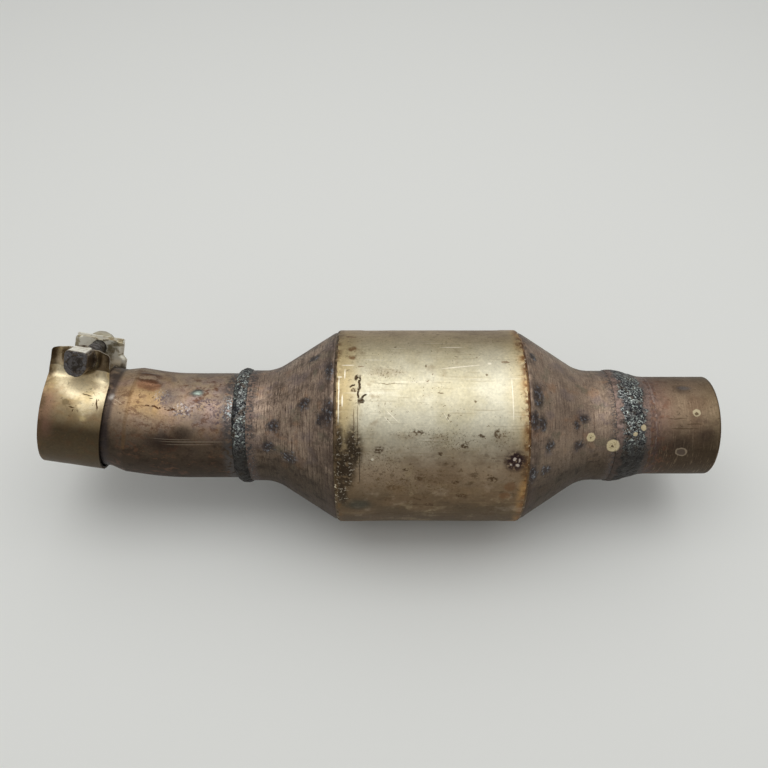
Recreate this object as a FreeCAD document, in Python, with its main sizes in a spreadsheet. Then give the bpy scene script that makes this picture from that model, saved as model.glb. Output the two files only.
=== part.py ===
import FreeCAD, Part
import math
import os
import re

import Sketcher

# Diesel particulate filter: a round can between two spun cones, with a bent
# inlet pipe that carries a wide band clamp, and a plain outlet pipe stub.
# X runs along the can, out of the outlet pipe, whose open end is the origin.
# Y points to the back and Z up. All sizes are in millimetres and degrees.

SIZES = [
    ("can_diameter", 110.0),
    ("can_wall", 1.5),
    ("can_length", 99.5),
    ("skirt_gap", 0.1),
    ("cone_wall", 1.5),
    ("skirt_insert", 8.0),
    ("shoulder_reach", 2.5),
    ("shoulder_radius", 4.0),
    ("throat_radius", 24.0),
    ("inlet_cone_length", 34.5),
    ("inlet_neck_length", 15.0),
    ("outlet_cone_length", 34.0),
    ("outlet_neck_length", 17.0),
    ("pipe_gap", 0.1),
    ("pipe_insert", 10.0),
    ("inlet_pipe_diameter", 60.3),
    ("inlet_pipe_wall", 1.5),
    ("inlet_straight", 33.0),
    ("inlet_bend_radius", 120.0),
    ("inlet_bend_angle", 11.0),
    ("inlet_bend_roll", 15.0),
    ("inlet_leg", 12.9),
    ("swage_depth", 2.2),
    ("swage_run", 4.0),
    ("swaged_length", 37.5),
    ("outlet_pipe_diameter", 56.0),
    ("outlet_pipe_wall", 1.5),
    ("outlet_stub", 35.0),
    ("outlet_swell", 1.9),
    ("outlet_swell_land", 2.0),
    ("outlet_swell_run", 19.0),
    ("inlet_bead_lap", 2.0),
    ("inlet_bead_foot", 6.0),
    ("outlet_bead_lap", 2.0),
    ("narrow_bead_flatness", 1.2),
    ("broad_bead_flatness", 2.4),
    ("mat_thickness", 4.0),
    ("seal_width", 5.0),
    ("skirt_margin", 0.75),
    ("monolith_recess", 2.0),
    ("monolith_skin", 1.6),
    ("cell_pitch", 7.2),
    ("cell_wall", 1.6),
    ("plug_depth", 8.0),
    ("band_width", 32.5),
    ("band_thickness", 1.4),
    ("band_end_margin", 1.0),
    ("sleeve_thickness", 1.2),
    ("sleeve_width", 26.0),
    ("sleeve_slit", 3.0),
    ("clamp_roll", 22.0),
    ("ear_spacing", 33.0),
    ("ear_height", 9.6),
    ("ear_width", 30.5),
    ("ear_straight", 6.5),
    ("ear_taper", 12.0),
    ("ear_bend_radius", 5.0),
    ("ear_corner_radius", 3.0),
    ("dish_radius", 7.6),
    ("dish_depth", 2.5),
    ("bolt_height", 4.3),
    ("bar_length", 26.0),
    ("bar_depth", 5.0),
    ("bar_height", 13.0),
    ("bar_rounding", 3.0),
    ("bolt_diameter", 8.0),
    ("bolt_hole_gap", 0.4),
    ("thread_gap", 0.05),
    ("bolt_recess", 0.5),
    ("hex_across", 12.0),
    ("head_height", 6.0),
    ("head_flange", 17.0),
    ("head_flange_thickness", 1.5),
    ("nut_length", 13.0),
    ("nut_width", 12.0),
    ("nut_rise", 6.7),
    ("nut_drop", 1.4),
    ("washer_diameter", 15.0),
    ("washer_thickness", 1.6),
]

NAMES = {alias for alias, _ in SIZES}

doc = FreeCAD.newDocument("particulate_filter")
sheet = doc.addObject("Spreadsheet::Sheet", "Sizes")
for row, (alias, value) in enumerate(SIZES, start=1):
    sheet.set(f"A{row}", alias)
    sheet.set(f"B{row}", str(value))
    sheet.setAlias(f"B{row}", alias)
doc.recompute()


def size(text):
    """Turn a formula over size names into an expression over the sheet."""
    def link(match):
        word = match.group()
        return f"Sizes.{word}" if word in NAMES else word

    return re.sub(r"[a-z_]+", link, text)


def number(text):
    """Work out such a formula for the first placing of sketch geometry."""
    value = sheet.evalExpression(size(text))
    return float(getattr(value, "Value", value))


# Stations along X, from the outlet's open end back to the inlet neck.
OUTLET_RIM = "(0 - outlet_stub - outlet_swell_run - outlet_swell_land)"
OUTLET_CORNER = f"({OUTLET_RIM} - outlet_neck_length)"
CAN_END = f"({OUTLET_CORNER} - outlet_cone_length - shoulder_reach)"
CAN_START = f"({CAN_END} - can_length)"
CAN_MIDDLE = f"({CAN_END} - can_length / 2)"
INLET_CORNER = f"({CAN_START} - shoulder_reach - inlet_cone_length)"
INLET_RIM = f"({INLET_CORNER} - inlet_neck_length)"

# The packing lies between the cones' skirts: two seal rings with the mat
# between them, round a monolith that stops short of them at each end.
PACKING_LENGTH = "(can_length - 2 * (skirt_insert + skirt_margin))"
MAT_LENGTH = f"({PACKING_LENGTH} - 2 * seal_width)"
MONOLITH_LENGTH = f"({PACKING_LENGTH} - 2 * monolith_recess)"

# Radii that mating pieces share.
CAN_OUTSIDE = "(can_diameter / 2)"
CAN_INSIDE = "(can_diameter / 2 - can_wall)"
SKIRT_OUTSIDE = f"({CAN_INSIDE} - skirt_gap)"
MONOLITH_OUTSIDE = f"({CAN_INSIDE} - mat_thickness)"
INLET_OUTSIDE = "(inlet_pipe_diameter / 2)"
INLET_NECK_INSIDE = f"({INLET_OUTSIDE} + pipe_gap)"
SWAGED_OUTSIDE = f"({INLET_OUTSIDE} - swage_depth)"
OUTLET_OUTSIDE = "(outlet_pipe_diameter / 2)"
SWELL_OUTSIDE = f"({OUTLET_OUTSIDE} + outlet_swell)"
OUTLET_NECK_INSIDE = f"({SWELL_OUTSIDE} + pipe_gap)"
BAND_INSIDE = f"({SWAGED_OUTSIDE} + sleeve_thickness)"
BAND_OUTSIDE = f"({BAND_INSIDE} + band_thickness)"
EAR_TOP = f"({BAND_OUTSIDE} + ear_height)"
BOLT_HEIGHT = f"({BAND_OUTSIDE} + bolt_height)"
NEAR_SEAT = "(ear_spacing / 2 + band_thickness - dish_depth)"
FAR_SEAT = "(ear_spacing / 2 + band_thickness + bar_depth)"
GRIP = f"({FAR_SEAT} + {NEAR_SEAT})"

# The inlet pipe runs back from inside the neck, with its bend plane rolled.
# The clamp sits round the pipe's far end and is rolled again about it.
INLET_RUN = "(pipe_insert + inlet_straight)"
INLET_PLACE = (
    f"placement(vector({INLET_RIM} + pipe_insert; 0; 0);"
    " rotation(180; 0; inlet_bend_roll))"
)


def leg_point(distance):
    """Give the place, in the bend's plane, at a distance along the last leg."""
    along = (
        f"({INLET_RUN} + inlet_bend_radius * sin(inlet_bend_angle)"
        f" + ({distance}) * cos(inlet_bend_angle))"
    )
    up = (
        "(inlet_bend_radius * (1 - cos(inlet_bend_angle))"
        f" + ({distance}) * sin(inlet_bend_angle))"
    )
    return along, up


BAND_ALONG, BAND_UP = leg_point(
    "inlet_leg + swage_run + swaged_length + band_end_margin - band_width / 2"
)
CLAMP_PLACE = (
    f"{INLET_PLACE} * placement(vector({BAND_ALONG}; 0; {BAND_UP});"
    " rotation(0; 0 - inlet_bend_angle; clamp_roll))"
)


def new_body(label):
    """Start a body for one piece."""
    body = doc.addObject("PartDesign::Body", label)
    body.Label = label
    return body


def new_sketch(body, name, plane, lift=None):
    """Put a sketch on one of the body's own origin planes, or over it."""
    sketch = body.newObject("Sketcher::SketchObject", name)
    origin_plane = next(
        feature for feature in body.Origin.OriginFeatures if feature.Role == plane
    )
    sketch.AttachmentSupport = [(origin_plane, "")]
    sketch.MapMode = "FlatFace"
    if lift:
        sketch.setExpression("AttachmentOffset.Base.z", size(lift))
    return sketch


def bind(sketch, kind, where, text):
    """Add one dimension and tie it to its formula."""
    index = sketch.addConstraint(Sketcher.Constraint(kind, *where, number(text)))
    sketch.setExpression(f"Constraints[{index}]", size(text))


def pin_point(sketch, edge, end, point):
    """Hold one end of an edge at a point given by two formulas."""
    for kind, text in (("DistanceX", point[0]), ("DistanceY", point[1])):
        if abs(number(text)) < 1e-9:
            axis = -2 if kind == "DistanceX" else -1
            sketch.addConstraint(Sketcher.Constraint("PointOnObject", edge, end, axis))
        else:
            bind(sketch, kind, (-1, 1, edge, end), text)


MINOR, HALF, MAJOR = range(3)


def arc_middle(start, stop, radius, side, major):
    """Find the middle of an arc; side is +1 to bulge left of the chord."""
    chord = stop - start
    half = chord.Length / 2
    reach = math.sqrt(max(radius * radius - half * half, 0.0))
    rise = radius + reach if major == MAJOR else radius - reach
    left = FreeCAD.Vector(-chord.y, chord.x, 0).normalize()
    return (start + stop) * 0.5 + left * rise * side


def outline(sketch, points, arcs=None):
    """Draw a closed outline; arcs maps an edge to (radius, side, reach)."""
    arcs = arcs or {}
    places = [FreeCAD.Vector(number(x), number(y), 0) for x, y in points]
    count = len(points)
    for index in range(count):
        start = places[index]
        stop = places[(index + 1) % count]
        if index in arcs:
            radius, side, major = arcs[index]
            middle = arc_middle(start, stop, number(radius), side, major)
            if side > 0:
                start, stop = stop, start
            sketch.addGeometry(Part.Arc(start, middle, stop), False)
        else:
            sketch.addGeometry(Part.LineSegment(start, stop), False)
    for index in range(count):
        first, last = arc_ends(sketch, index, places[index])
        following = (index + 1) % count
        after, _ = arc_ends(sketch, following, places[following])
        sketch.addConstraint(
            Sketcher.Constraint("Coincident", index, last, following, after)
        )
        pin_point(sketch, index, first, points[index])
        if index in arcs and arcs[index][2] == HALF:
            bind(sketch, "DistanceY", (-1, 1, index, 3), points[index][1])
        elif index in arcs:
            bind(sketch, "Radius", (index,), arcs[index][0])
    return sketch


def arc_ends(sketch, index, start):
    """Tell which end of an edge lies at its first point.

    An arc is always drawn anticlockwise, so it may run from its last point.
    """
    edge = sketch.Geometry[index]
    if (edge.StartPoint - start).Length < 1e-6:
        return 1, 2
    return 2, 1


def circle(sketch, centre, radius):
    """Draw a full circle about a point given by two formulas."""
    place = FreeCAD.Vector(number(centre[0]), number(centre[1]), 0)
    normal = FreeCAD.Vector(0, 0, 1)
    index = sketch.addGeometry(Part.Circle(place, normal, number(radius)), False)
    pin_point(sketch, index, 3, centre)
    bind(sketch, "Radius", (index,), radius)


def revolve(body, name, points, arcs=None, groove=False):
    """Turn a profile, drawn over the body's X axis, into a ring or shell."""
    sketch = outline(new_sketch(body, f"{name}_profile", "XZ_Plane"), points, arcs)
    kind = "PartDesign::Groove" if groove else "PartDesign::Revolution"
    turned = body.newObject(kind, name)
    turned.Profile = sketch
    turned.ReferenceAxis = (sketch, ["H_Axis"])
    turned.Angle = 360.0
    body.Tip = turned
    doc.recompute()
    return turned


def round_edges(body, name, test, radius):
    """Fillet the edges of the body's latest feature that a test picks."""
    base = body.Tip
    picked = [
        f"Edge{index}"
        for index, edge in enumerate(base.Shape.Edges, start=1)
        if test(edge)
    ]
    fillet = body.newObject("PartDesign::Fillet", name)
    fillet.Base = (base, picked)
    fillet.setExpression("Radius", size(radius))
    body.Tip = fillet
    doc.recompute()
    return fillet


def ring_at(place, radius):
    """Make a test for the circular edge about X at one place and radius."""
    at = number(place)
    wide = number(radius)

    def test(edge):
        curve = edge.Curve
        if not isinstance(curve, Part.Circle):
            return False
        return abs(curve.Center.x - at) < 1e-3 and abs(curve.Radius - wide) < 1e-3

    return test


def place_along(piece, station, turn=0):
    """Set a piece at a station on the can's axis, facing out or turned back."""
    piece.setExpression(
        "Placement",
        size(f"placement(vector({station}; 0; 0); rotation({turn}; 0; 0))"),
    )


def extrude(body, name, sketch, length, cut=False, both=True, turned=False):
    """Pad or pocket a sketch, on both sides of its plane unless told."""
    kind = "PartDesign::Pocket" if cut else "PartDesign::Pad"
    feature = body.newObject(kind, name)
    feature.Profile = sketch
    feature.Midplane = both
    feature.Reversed = turned
    feature.setExpression("Length", size(length))
    body.Tip = feature
    doc.recompute()
    return feature


def make_can():
    """Roll the can: a plain round shell, open at both ends."""
    body = new_body("can_shell")
    revolve(body, "can_tube", [
        ("0", CAN_INSIDE),
        ("can_length", CAN_INSIDE),
        ("can_length", CAN_OUTSIDE),
        ("0", CAN_OUTSIDE),
    ])
    place_along(body, CAN_START)


def make_cone(label, cone_length, neck_length, neck_inside, station, turn):
    """Spin a cone: skirt inside the can, shoulder, taper, throat and neck."""
    body = new_body(label)
    shoulder = "(skirt_insert + shoulder_reach)"
    corner = f"({shoulder} + {cone_length})"
    rim = f"({corner} + {neck_length})"
    slope = f"(({SKIRT_OUTSIDE} - {neck_inside} - cone_wall) / {cone_length})"
    lead = f"(cone_wall * (sqrt(1 + {slope} ^ 2) - 1) / {slope})"
    revolve(body, "cone_tube", [
        ("0", SKIRT_OUTSIDE),
        (shoulder, SKIRT_OUTSIDE),
        (corner, f"{neck_inside} + cone_wall"),
        (rim, f"{neck_inside} + cone_wall"),
        (rim, neck_inside),
        (f"{corner} - {lead}", neck_inside),
        (f"{shoulder} - {lead}", f"{SKIRT_OUTSIDE} - cone_wall"),
        ("0", f"{SKIRT_OUTSIDE} - cone_wall"),
    ])
    rounds = [
        ("shoulder_outside", shoulder, SKIRT_OUTSIDE, "shoulder_radius"),
        ("shoulder_inside", f"{shoulder} - {lead}", f"{SKIRT_OUTSIDE} - cone_wall",
         "shoulder_radius - cone_wall"),
        ("throat_outside", corner, f"{neck_inside} + cone_wall", "throat_radius"),
        ("throat_inside", f"{corner} - {lead}", neck_inside,
         "throat_radius + cone_wall"),
    ]
    for name, place, radius, bend in rounds:
        round_edges(body, name, ring_at(place, radius), bend)
    place_along(body, station, turn)


def make_outlet_pipe():
    """Swell the hidden end of the outlet pipe to fill the cone's neck."""
    body = new_body("outlet_pipe")
    land = "(pipe_insert + outlet_swell_land)"
    taper = f"({land} + outlet_swell_run)"
    tip = f"({taper} + outlet_stub)"
    wall = "outlet_pipe_wall"
    revolve(body, "outlet_tube", [
        ("0", SWELL_OUTSIDE),
        (land, SWELL_OUTSIDE),
        (taper, OUTLET_OUTSIDE),
        (tip, OUTLET_OUTSIDE),
        (tip, f"{OUTLET_OUTSIDE} - {wall}"),
        (taper, f"{OUTLET_OUTSIDE} - {wall}"),
        (land, f"{SWELL_OUTSIDE} - {wall}"),
        ("0", f"{SWELL_OUTSIDE} - {wall}"),
    ])
    place_along(body, f"0 - {tip}")


def make_inlet_pipe():
    """Bend the inlet pipe and swage its open end down for the clamp."""
    body = new_body("inlet_pipe")
    inside = f"({INLET_OUTSIDE} - inlet_pipe_wall)"
    section = new_sketch(body, "pipe_section", "YZ_Plane")
    circle(section, ("0", "0"), INLET_OUTSIDE)
    circle(section, ("0", "0"), inside)
    path = new_sketch(body, "pipe_path", "XZ_Plane")
    turn = math.radians(number("inlet_bend_angle"))
    bend = number("inlet_bend_radius")
    knee = FreeCAD.Vector(number(INLET_RUN), 0, 0)
    heel = knee + FreeCAD.Vector(math.sin(turn), 1 - math.cos(turn), 0) * bend
    half = turn / 2
    middle = knee + FreeCAD.Vector(math.sin(half), 1 - math.cos(half), 0) * bend
    leg = number("inlet_leg")
    tip = heel + FreeCAD.Vector(math.cos(turn), math.sin(turn), 0) * leg
    path.addGeometry(Part.LineSegment(FreeCAD.Vector(0, 0, 0), knee), False)
    path.addGeometry(Part.Arc(knee, middle, heel), False)
    path.addGeometry(Part.LineSegment(heel, tip), False)
    path.addConstraint(Sketcher.Constraint("Coincident", 0, 1, -1, 1))
    path.addConstraint(Sketcher.Constraint("Horizontal", 0))
    path.addConstraint(Sketcher.Constraint("Tangent", 0, 2, 1, 1))
    path.addConstraint(Sketcher.Constraint("Tangent", 1, 2, 2, 1))
    bind(path, "Distance", (0,), INLET_RUN)
    bind(path, "Radius", (1,), "inlet_bend_radius")
    bind(path, "Distance", (2,), "inlet_leg")
    angle = path.addConstraint(Sketcher.Constraint("Angle", 2, turn))
    path.setExpression(f"Constraints[{angle}]", size("inlet_bend_angle"))
    doc.recompute()
    tube = body.newObject("PartDesign::AdditivePipe", "bent_tube")
    tube.Profile = section
    tube.Spine = (path, ["Edge1", "Edge2", "Edge3"])
    body.Tip = tube
    doc.recompute()

    profile = new_sketch(body, "swage_profile", "XZ_Plane")
    along, up = leg_point("inlet_leg")
    profile.setExpression(
        "AttachmentOffset",
        size(f"placement(vector({along}; {up}; 0); rotation(inlet_bend_angle; 0; 0))"),
    )
    wall = "inlet_pipe_wall"
    end = "(swage_run + swaged_length)"
    outline(profile, [
        ("0", INLET_OUTSIDE),
        ("swage_run", SWAGED_OUTSIDE),
        (end, SWAGED_OUTSIDE),
        (end, f"{SWAGED_OUTSIDE} - {wall}"),
        ("swage_run", f"{SWAGED_OUTSIDE} - {wall}"),
        ("0", f"{INLET_OUTSIDE} - {wall}"),
    ])
    swage = body.newObject("PartDesign::Revolution", "swaged_end")
    swage.Profile = profile
    swage.ReferenceAxis = (profile, ["H_Axis"])
    swage.Angle = 360.0
    body.Tip = swage
    doc.recompute()
    body.setExpression("Placement", size(INLET_PLACE))


def make_seam(label, station, turn):
    """Lay the thin weld in the corner between the can's edge and a skirt."""
    body = new_body(label)
    revolve(body, "seam", [
        ("0", SKIRT_OUTSIDE),
        ("shoulder_reach / 2", SKIRT_OUTSIDE),
        ("0", CAN_OUTSIDE),
    ])
    place_along(body, station, turn)


def make_inlet_bead():
    """Lay the weld ring: over the neck's rim by its lap, then along the pipe."""
    body = new_body("inlet_pipe_weld")
    upper = f"({INLET_NECK_INSIDE} + cone_wall)"
    tip = "(inlet_bead_lap + inlet_bead_foot)"
    chord = f"sqrt({tip} ^ 2 + ({upper} - {INLET_OUTSIDE}) ^ 2)"
    revolve(body, "bead", [
        ("0", upper),
        ("inlet_bead_lap", upper),
        ("inlet_bead_lap", INLET_OUTSIDE),
        (tip, INLET_OUTSIDE),
    ], {3: (f"narrow_bead_flatness * {chord}", -1, MINOR)})
    place_along(body, f"{INLET_RIM} + inlet_bead_lap", 180)


def make_outlet_bead():
    """Lay the broad, tapering weld over the swell of the outlet pipe."""
    body = new_body("outlet_pipe_weld")
    upper = f"({OUTLET_NECK_INSIDE} + cone_wall)"
    land = "(outlet_bead_lap + outlet_swell_land)"
    tip = f"({land} + outlet_swell_run)"
    chord = f"sqrt({tip} ^ 2 + ({upper} - {OUTLET_OUTSIDE}) ^ 2)"
    revolve(body, "bead", [
        ("0", upper),
        ("outlet_bead_lap", upper),
        ("outlet_bead_lap", SWELL_OUTSIDE),
        (land, SWELL_OUTSIDE),
        (tip, OUTLET_OUTSIDE),
    ], {4: (f"broad_bead_flatness * {chord}", -1, MINOR)})
    place_along(body, f"{OUTLET_RIM} - outlet_bead_lap")


def make_ring(label, inside, outside, length, station):
    """Make a plain ring about the can's axis, centred on a station."""
    body = new_body(label)
    revolve(body, "ring", [
        ("0", inside),
        (length, inside),
        (length, outside),
        ("0", outside),
    ])
    place_along(body, f"{station} - ({length}) / 2")


def cell_centres(odd):
    """List the whole cells of one colour of the honeycomb's chessboard."""
    pitch = number("cell_pitch")
    half = (pitch - number("cell_wall")) / 2
    reach = number(f"{MONOLITH_OUTSIDE} - monolith_skin")
    count = int(reach // pitch) + 1
    centres = []
    for column in range(-count, count + 1):
        for row in range(-count, count + 1):
            corner = math.hypot(abs(column) * pitch + half, abs(row) * pitch + half)
            if corner <= reach and (column + row) % 2 == odd:
                centres.append((column * pitch, row * pitch))
    return centres


def cell_blocks(centres, start, length):
    """Fill the given cells with square bars between two stations."""
    across = number("cell_pitch") - number("cell_wall")
    return [
        Part.makeBox(
            length, across, across,
            FreeCAD.Vector(start, y - across / 2, z - across / 2),
        )
        for y, z in centres
    ]


def add_shape(label, shape, station):
    """Add a piece made directly as a shape, at a station on the axis."""
    feature = doc.addObject("Part::Feature", label)
    feature.Label = label
    feature.Shape = shape
    place_along(feature, station)


def make_monolith():
    """Make the wall-flow honeycomb and the plugs that close its channels.

    Cells of one colour are closed at the inlet face and the others at the
    outlet face, so that the gas has to pass through the walls between them.
    """
    length = number(MONOLITH_LENGTH)
    radius = number(MONOLITH_OUTSIDE)
    depth = number("plug_depth")
    core = Part.makeCylinder(
        radius, length, FreeCAD.Vector(0, 0, 0), FreeCAD.Vector(1, 0, 0)
    )
    closed_at_inlet = cell_centres(0)
    closed_at_outlet = cell_centres(1)
    channels = cell_blocks(closed_at_inlet + closed_at_outlet, 0, length)
    station = f"{CAN_MIDDLE} - {MONOLITH_LENGTH} / 2"
    add_shape("filter_monolith", core.cut(channels), station)
    inlet_plugs = cell_blocks(closed_at_inlet, 0, depth)
    outlet_plugs = cell_blocks(closed_at_outlet, length - depth, depth)
    add_shape("inlet_channel_plugs", Part.makeCompound(inlet_plugs), station)
    add_shape("outlet_channel_plugs", Part.makeCompound(outlet_plugs), station)


def along_x(across, up):
    """Make a test for straight edges along X at one place across."""
    y = number(across)
    z = number(up)

    def test(edge):
        ends = [vertex.Point for vertex in edge.Vertexes]
        if len(ends) != 2 or not isinstance(edge.Curve, Part.Line):
            return False
        return all(abs(end.y - y) < 1e-3 and abs(end.z - z) < 1e-3 for end in ends)

    return test


def ear_corner(edge):
    """Pick the short edges at the top corners of the clamp's ears."""
    ends = [vertex.Point for vertex in edge.Vertexes]
    if len(ends) != 2 or not isinstance(edge.Curve, Part.Line):
        return False
    top = number(EAR_TOP)
    side = number("ear_width / 2")
    if abs(ends[0].x - ends[1].x) > 1e-3:
        return False
    return all(
        abs(end.z - top) < 1e-3 and abs(abs(end.x) - side) < 1e-3 for end in ends
    )


def make_clamp_band():
    """Fold the band: an open ring whose ends turn out into two ears."""
    body = new_body("clamp_band")
    inner = "(ear_spacing / 2)"
    outer = "(ear_spacing / 2 + band_thickness)"
    outside_root = f"sqrt({BAND_OUTSIDE} ^ 2 - {outer} ^ 2)"
    inside_root = f"sqrt({BAND_INSIDE} ^ 2 - {inner} ^ 2)"
    section = outline(new_sketch(body, "band_section", "YZ_Plane"), [
        (outer, EAR_TOP),
        (outer, outside_root),
        (f"0 - {outer}", outside_root),
        (f"0 - {outer}", EAR_TOP),
        (f"0 - {inner}", EAR_TOP),
        (f"0 - {inner}", inside_root),
        (inner, inside_root),
        (inner, EAR_TOP),
    ], {1: (BAND_OUTSIDE, 1, MAJOR), 5: (BAND_INSIDE, -1, MAJOR)})
    extrude(body, "band", section, "band_width")
    roots = [("near", "1", "ear_bend_radius"), ("far", "(0 - 1)", "ear_bend_radius")]
    for name, side, bend in roots:
        round_edges(body, f"{name}_root_outside",
                    along_x(f"{side} * {outer}", outside_root), bend)
        round_edges(body, f"{name}_root_inside",
                    along_x(f"{side} * {inner}", inside_root),
                    f"{bend} + band_thickness")
    for name, side in (("inlet", "1"), ("outlet", "(0 - 1)")):
        narrow = f"({side} * ear_width / 2)"
        wide = f"({side} * band_width / 2)"
        beyond = f"({side} * band_width)"
        taper_top = f"({EAR_TOP} - ear_straight)"
        taper_end = f"({taper_top} - ear_taper)"
        waste = outline(new_sketch(body, f"{name}_side_waste", "XZ_Plane"), [
            (narrow, f"({EAR_TOP} + ear_height)"),
            (narrow, taper_top),
            (wide, taper_end),
            (beyond, taper_end),
            (beyond, f"({EAR_TOP} + ear_height)"),
        ])
        extrude(body, f"{name}_side_taper", waste, f"4 * {outer}", cut=True)
    round_edges(body, "ear_corners", ear_corner, "ear_corner_radius")
    bulge = new_sketch(body, "dish_bulge_outline", "XZ_Plane", f"0 - {inner}")
    dish_outline(bulge, "(dish_radius + band_thickness)")
    extrude(body, "dish_bulge", bulge, "dish_depth", both=False)
    dish = new_sketch(body, "dish_outline", "XZ_Plane", f"0 - {outer}")
    dish_outline(dish, "dish_radius")
    extrude(body, "dish", dish, "dish_depth", cut=True, both=False, turned=True)
    hole = new_sketch(body, "bolt_hole_circle", "XZ_Plane")
    circle(hole, ("0", BOLT_HEIGHT), "bolt_diameter / 2 + bolt_hole_gap")
    extrude(body, "bolt_holes", hole, f"4 * {outer}", cut=True)
    body.setExpression("Placement", size(CLAMP_PLACE))


def dish_outline(sketch, radius):
    """Draw a dish round the bolt that runs out through the ear's top."""
    outline(sketch, [
        (f"0 - {radius}", EAR_TOP),
        (f"0 - {radius}", BOLT_HEIGHT),
        (radius, BOLT_HEIGHT),
        (radius, EAR_TOP),
    ], {1: (radius, -1, HALF)})


def make_clamp_sleeve():
    """Roll the thin split sleeve that lies between the pipe and the band."""
    body = new_body("clamp_sleeve")
    half = "(sleeve_slit / 2)"
    outside = f"(0 - sqrt({BAND_INSIDE} ^ 2 - {half} ^ 2))"
    inside = f"(0 - sqrt({SWAGED_OUTSIDE} ^ 2 - {half} ^ 2))"
    section = outline(new_sketch(body, "sleeve_section", "YZ_Plane"), [
        (half, inside),
        (half, outside),
        (f"0 - {half}", outside),
        (f"0 - {half}", inside),
    ], {1: (BAND_INSIDE, -1, MAJOR), 3: (SWAGED_OUTSIDE, 1, MAJOR)})
    extrude(body, "sleeve", section, "sleeve_width")
    body.setExpression("Placement", size(CLAMP_PLACE))


def make_pressure_bar():
    """Make the round-backed bar that spreads the bolt's pull on the far ear."""
    body = new_body("clamp_pressure_bar")
    face = "(ear_spacing / 2 + band_thickness)"
    back = f"({face} + bar_depth)"
    low = f"({BOLT_HEIGHT} - bar_height / 2)"
    high = f"({BOLT_HEIGHT} + bar_height / 2)"
    section = outline(new_sketch(body, "bar_section", "YZ_Plane"), [
        (f"0 - {face}", low),
        (f"0 - {face}", high),
        (f"0 - {back}", high),
        (f"0 - {back}", low),
    ])
    extrude(body, "bar", section, "bar_length")
    for name, up in (("low", low), ("high", high)):
        round_edges(body, f"{name}_rounding", along_x(f"0 - {back}", up),
                    "bar_rounding")
    hole = new_sketch(body, "bar_hole_circle", "XZ_Plane")
    circle(hole, ("0", BOLT_HEIGHT), "bolt_diameter / 2 + bolt_hole_gap")
    extrude(body, "bar_hole", hole, f"4 * {back}", cut=True)
    body.setExpression("Placement", size(CLAMP_PLACE))


def hexagon(sketch):
    """Draw the bolt head's hexagon."""
    flat = "(hex_across / 2)"
    corner = "(hex_across / sqrt(3))"
    half = f"({corner} / 2)"
    outline(sketch, [
        (corner, "0"),
        (half, flat),
        (f"0 - {half}", flat),
        (f"0 - {corner}", "0"),
        (f"0 - {half}", f"0 - {flat}"),
        (half, f"0 - {flat}"),
    ])


def place_on_bolt(body, distance):
    """Set a piece on the bolt's axis, at a distance from the far seat."""
    spot = (
        f"placement(vector(0; {distance} - {FAR_SEAT}; {BOLT_HEIGHT});"
        " rotation(90; 0; 0))"
    )
    body.setExpression("Placement", size(f"{CLAMP_PLACE} * {spot}"))


def make_clamp_bolt():
    """Make the bolt: shank, flange and hexagon behind the pressure bar."""
    body = new_body("clamp_bolt")
    shank = f"({GRIP} + washer_thickness + nut_length - bolt_recess)"
    flange = "head_flange_thickness"
    revolve(body, "shank_and_flange", [
        ("0", "0"),
        (f"{flange} + {shank}", "0"),
        (f"{flange} + {shank}", "bolt_diameter / 2"),
        (flange, "bolt_diameter / 2"),
        (flange, "head_flange / 2"),
        ("0", "head_flange / 2"),
    ])
    head = new_sketch(body, "head_hexagon", "YZ_Plane")
    hexagon(head)
    extrude(body, "head", head, "head_height", both=False, turned=True)
    place_on_bolt(body, f"0 - {flange}")


def make_clamp_nut():
    """Make the deep nut, whose rounded foot can't turn in the ear's dish."""
    body = new_body("clamp_nut")
    half = "(nut_width / 2)"
    section = outline(new_sketch(body, "nut_section", "YZ_Plane"), [
        (f"0 - {half}", "nut_rise"),
        (f"0 - {half}", "0 - nut_drop"),
        (half, "0 - nut_drop"),
        (half, "nut_rise"),
    ], {1: (half, -1, HALF)})
    extrude(body, "nut", section, "nut_length", both=False)
    bore = new_sketch(body, "nut_bore_circle", "YZ_Plane")
    circle(bore, ("0", "0"), "bolt_diameter / 2 + thread_gap")
    extrude(body, "nut_bore", bore, "2 * nut_length + 2", cut=True)
    place_on_bolt(body, f"{GRIP} + washer_thickness")


def make_clamp_washer():
    """Make the washer between the near ear and the nut."""
    body = new_body("clamp_washer")
    revolve(body, "washer", [
        ("0", "bolt_diameter / 2 + bolt_hole_gap"),
        ("washer_thickness", "bolt_diameter / 2 + bolt_hole_gap"),
        ("washer_thickness", "washer_diameter / 2"),
        ("0", "washer_diameter / 2"),
    ])
    place_on_bolt(body, GRIP)


def make_all():
    """Make every piece of the filter."""
    make_can()
    make_cone(
        "outlet_cone", "outlet_cone_length", "outlet_neck_length",
        OUTLET_NECK_INSIDE, f"({CAN_END} - skirt_insert)", 0,
    )
    make_cone(
        "inlet_cone", "inlet_cone_length", "inlet_neck_length",
        INLET_NECK_INSIDE, f"({CAN_START} + skirt_insert)", 180,
    )
    make_outlet_pipe()
    make_inlet_pipe()
    make_seam("can_outlet_weld", CAN_END, 0)
    make_seam("can_inlet_weld", CAN_START, 180)
    make_inlet_bead()
    make_outlet_bead()
    make_monolith()
    make_ring("support_mat", MONOLITH_OUTSIDE, CAN_INSIDE, MAT_LENGTH, CAN_MIDDLE)
    seal_offset = f"({MAT_LENGTH} + seal_width) / 2"
    make_ring("inlet_seal_ring", MONOLITH_OUTSIDE, CAN_INSIDE, "seal_width",
              f"({CAN_MIDDLE} - {seal_offset})")
    make_ring("outlet_seal_ring", MONOLITH_OUTSIDE, CAN_INSIDE, "seal_width",
              f"({CAN_MIDDLE} + {seal_offset})")
    make_clamp_band()
    make_clamp_sleeve()
    make_pressure_bar()
    make_clamp_bolt()
    make_clamp_nut()
    make_clamp_washer()


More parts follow.
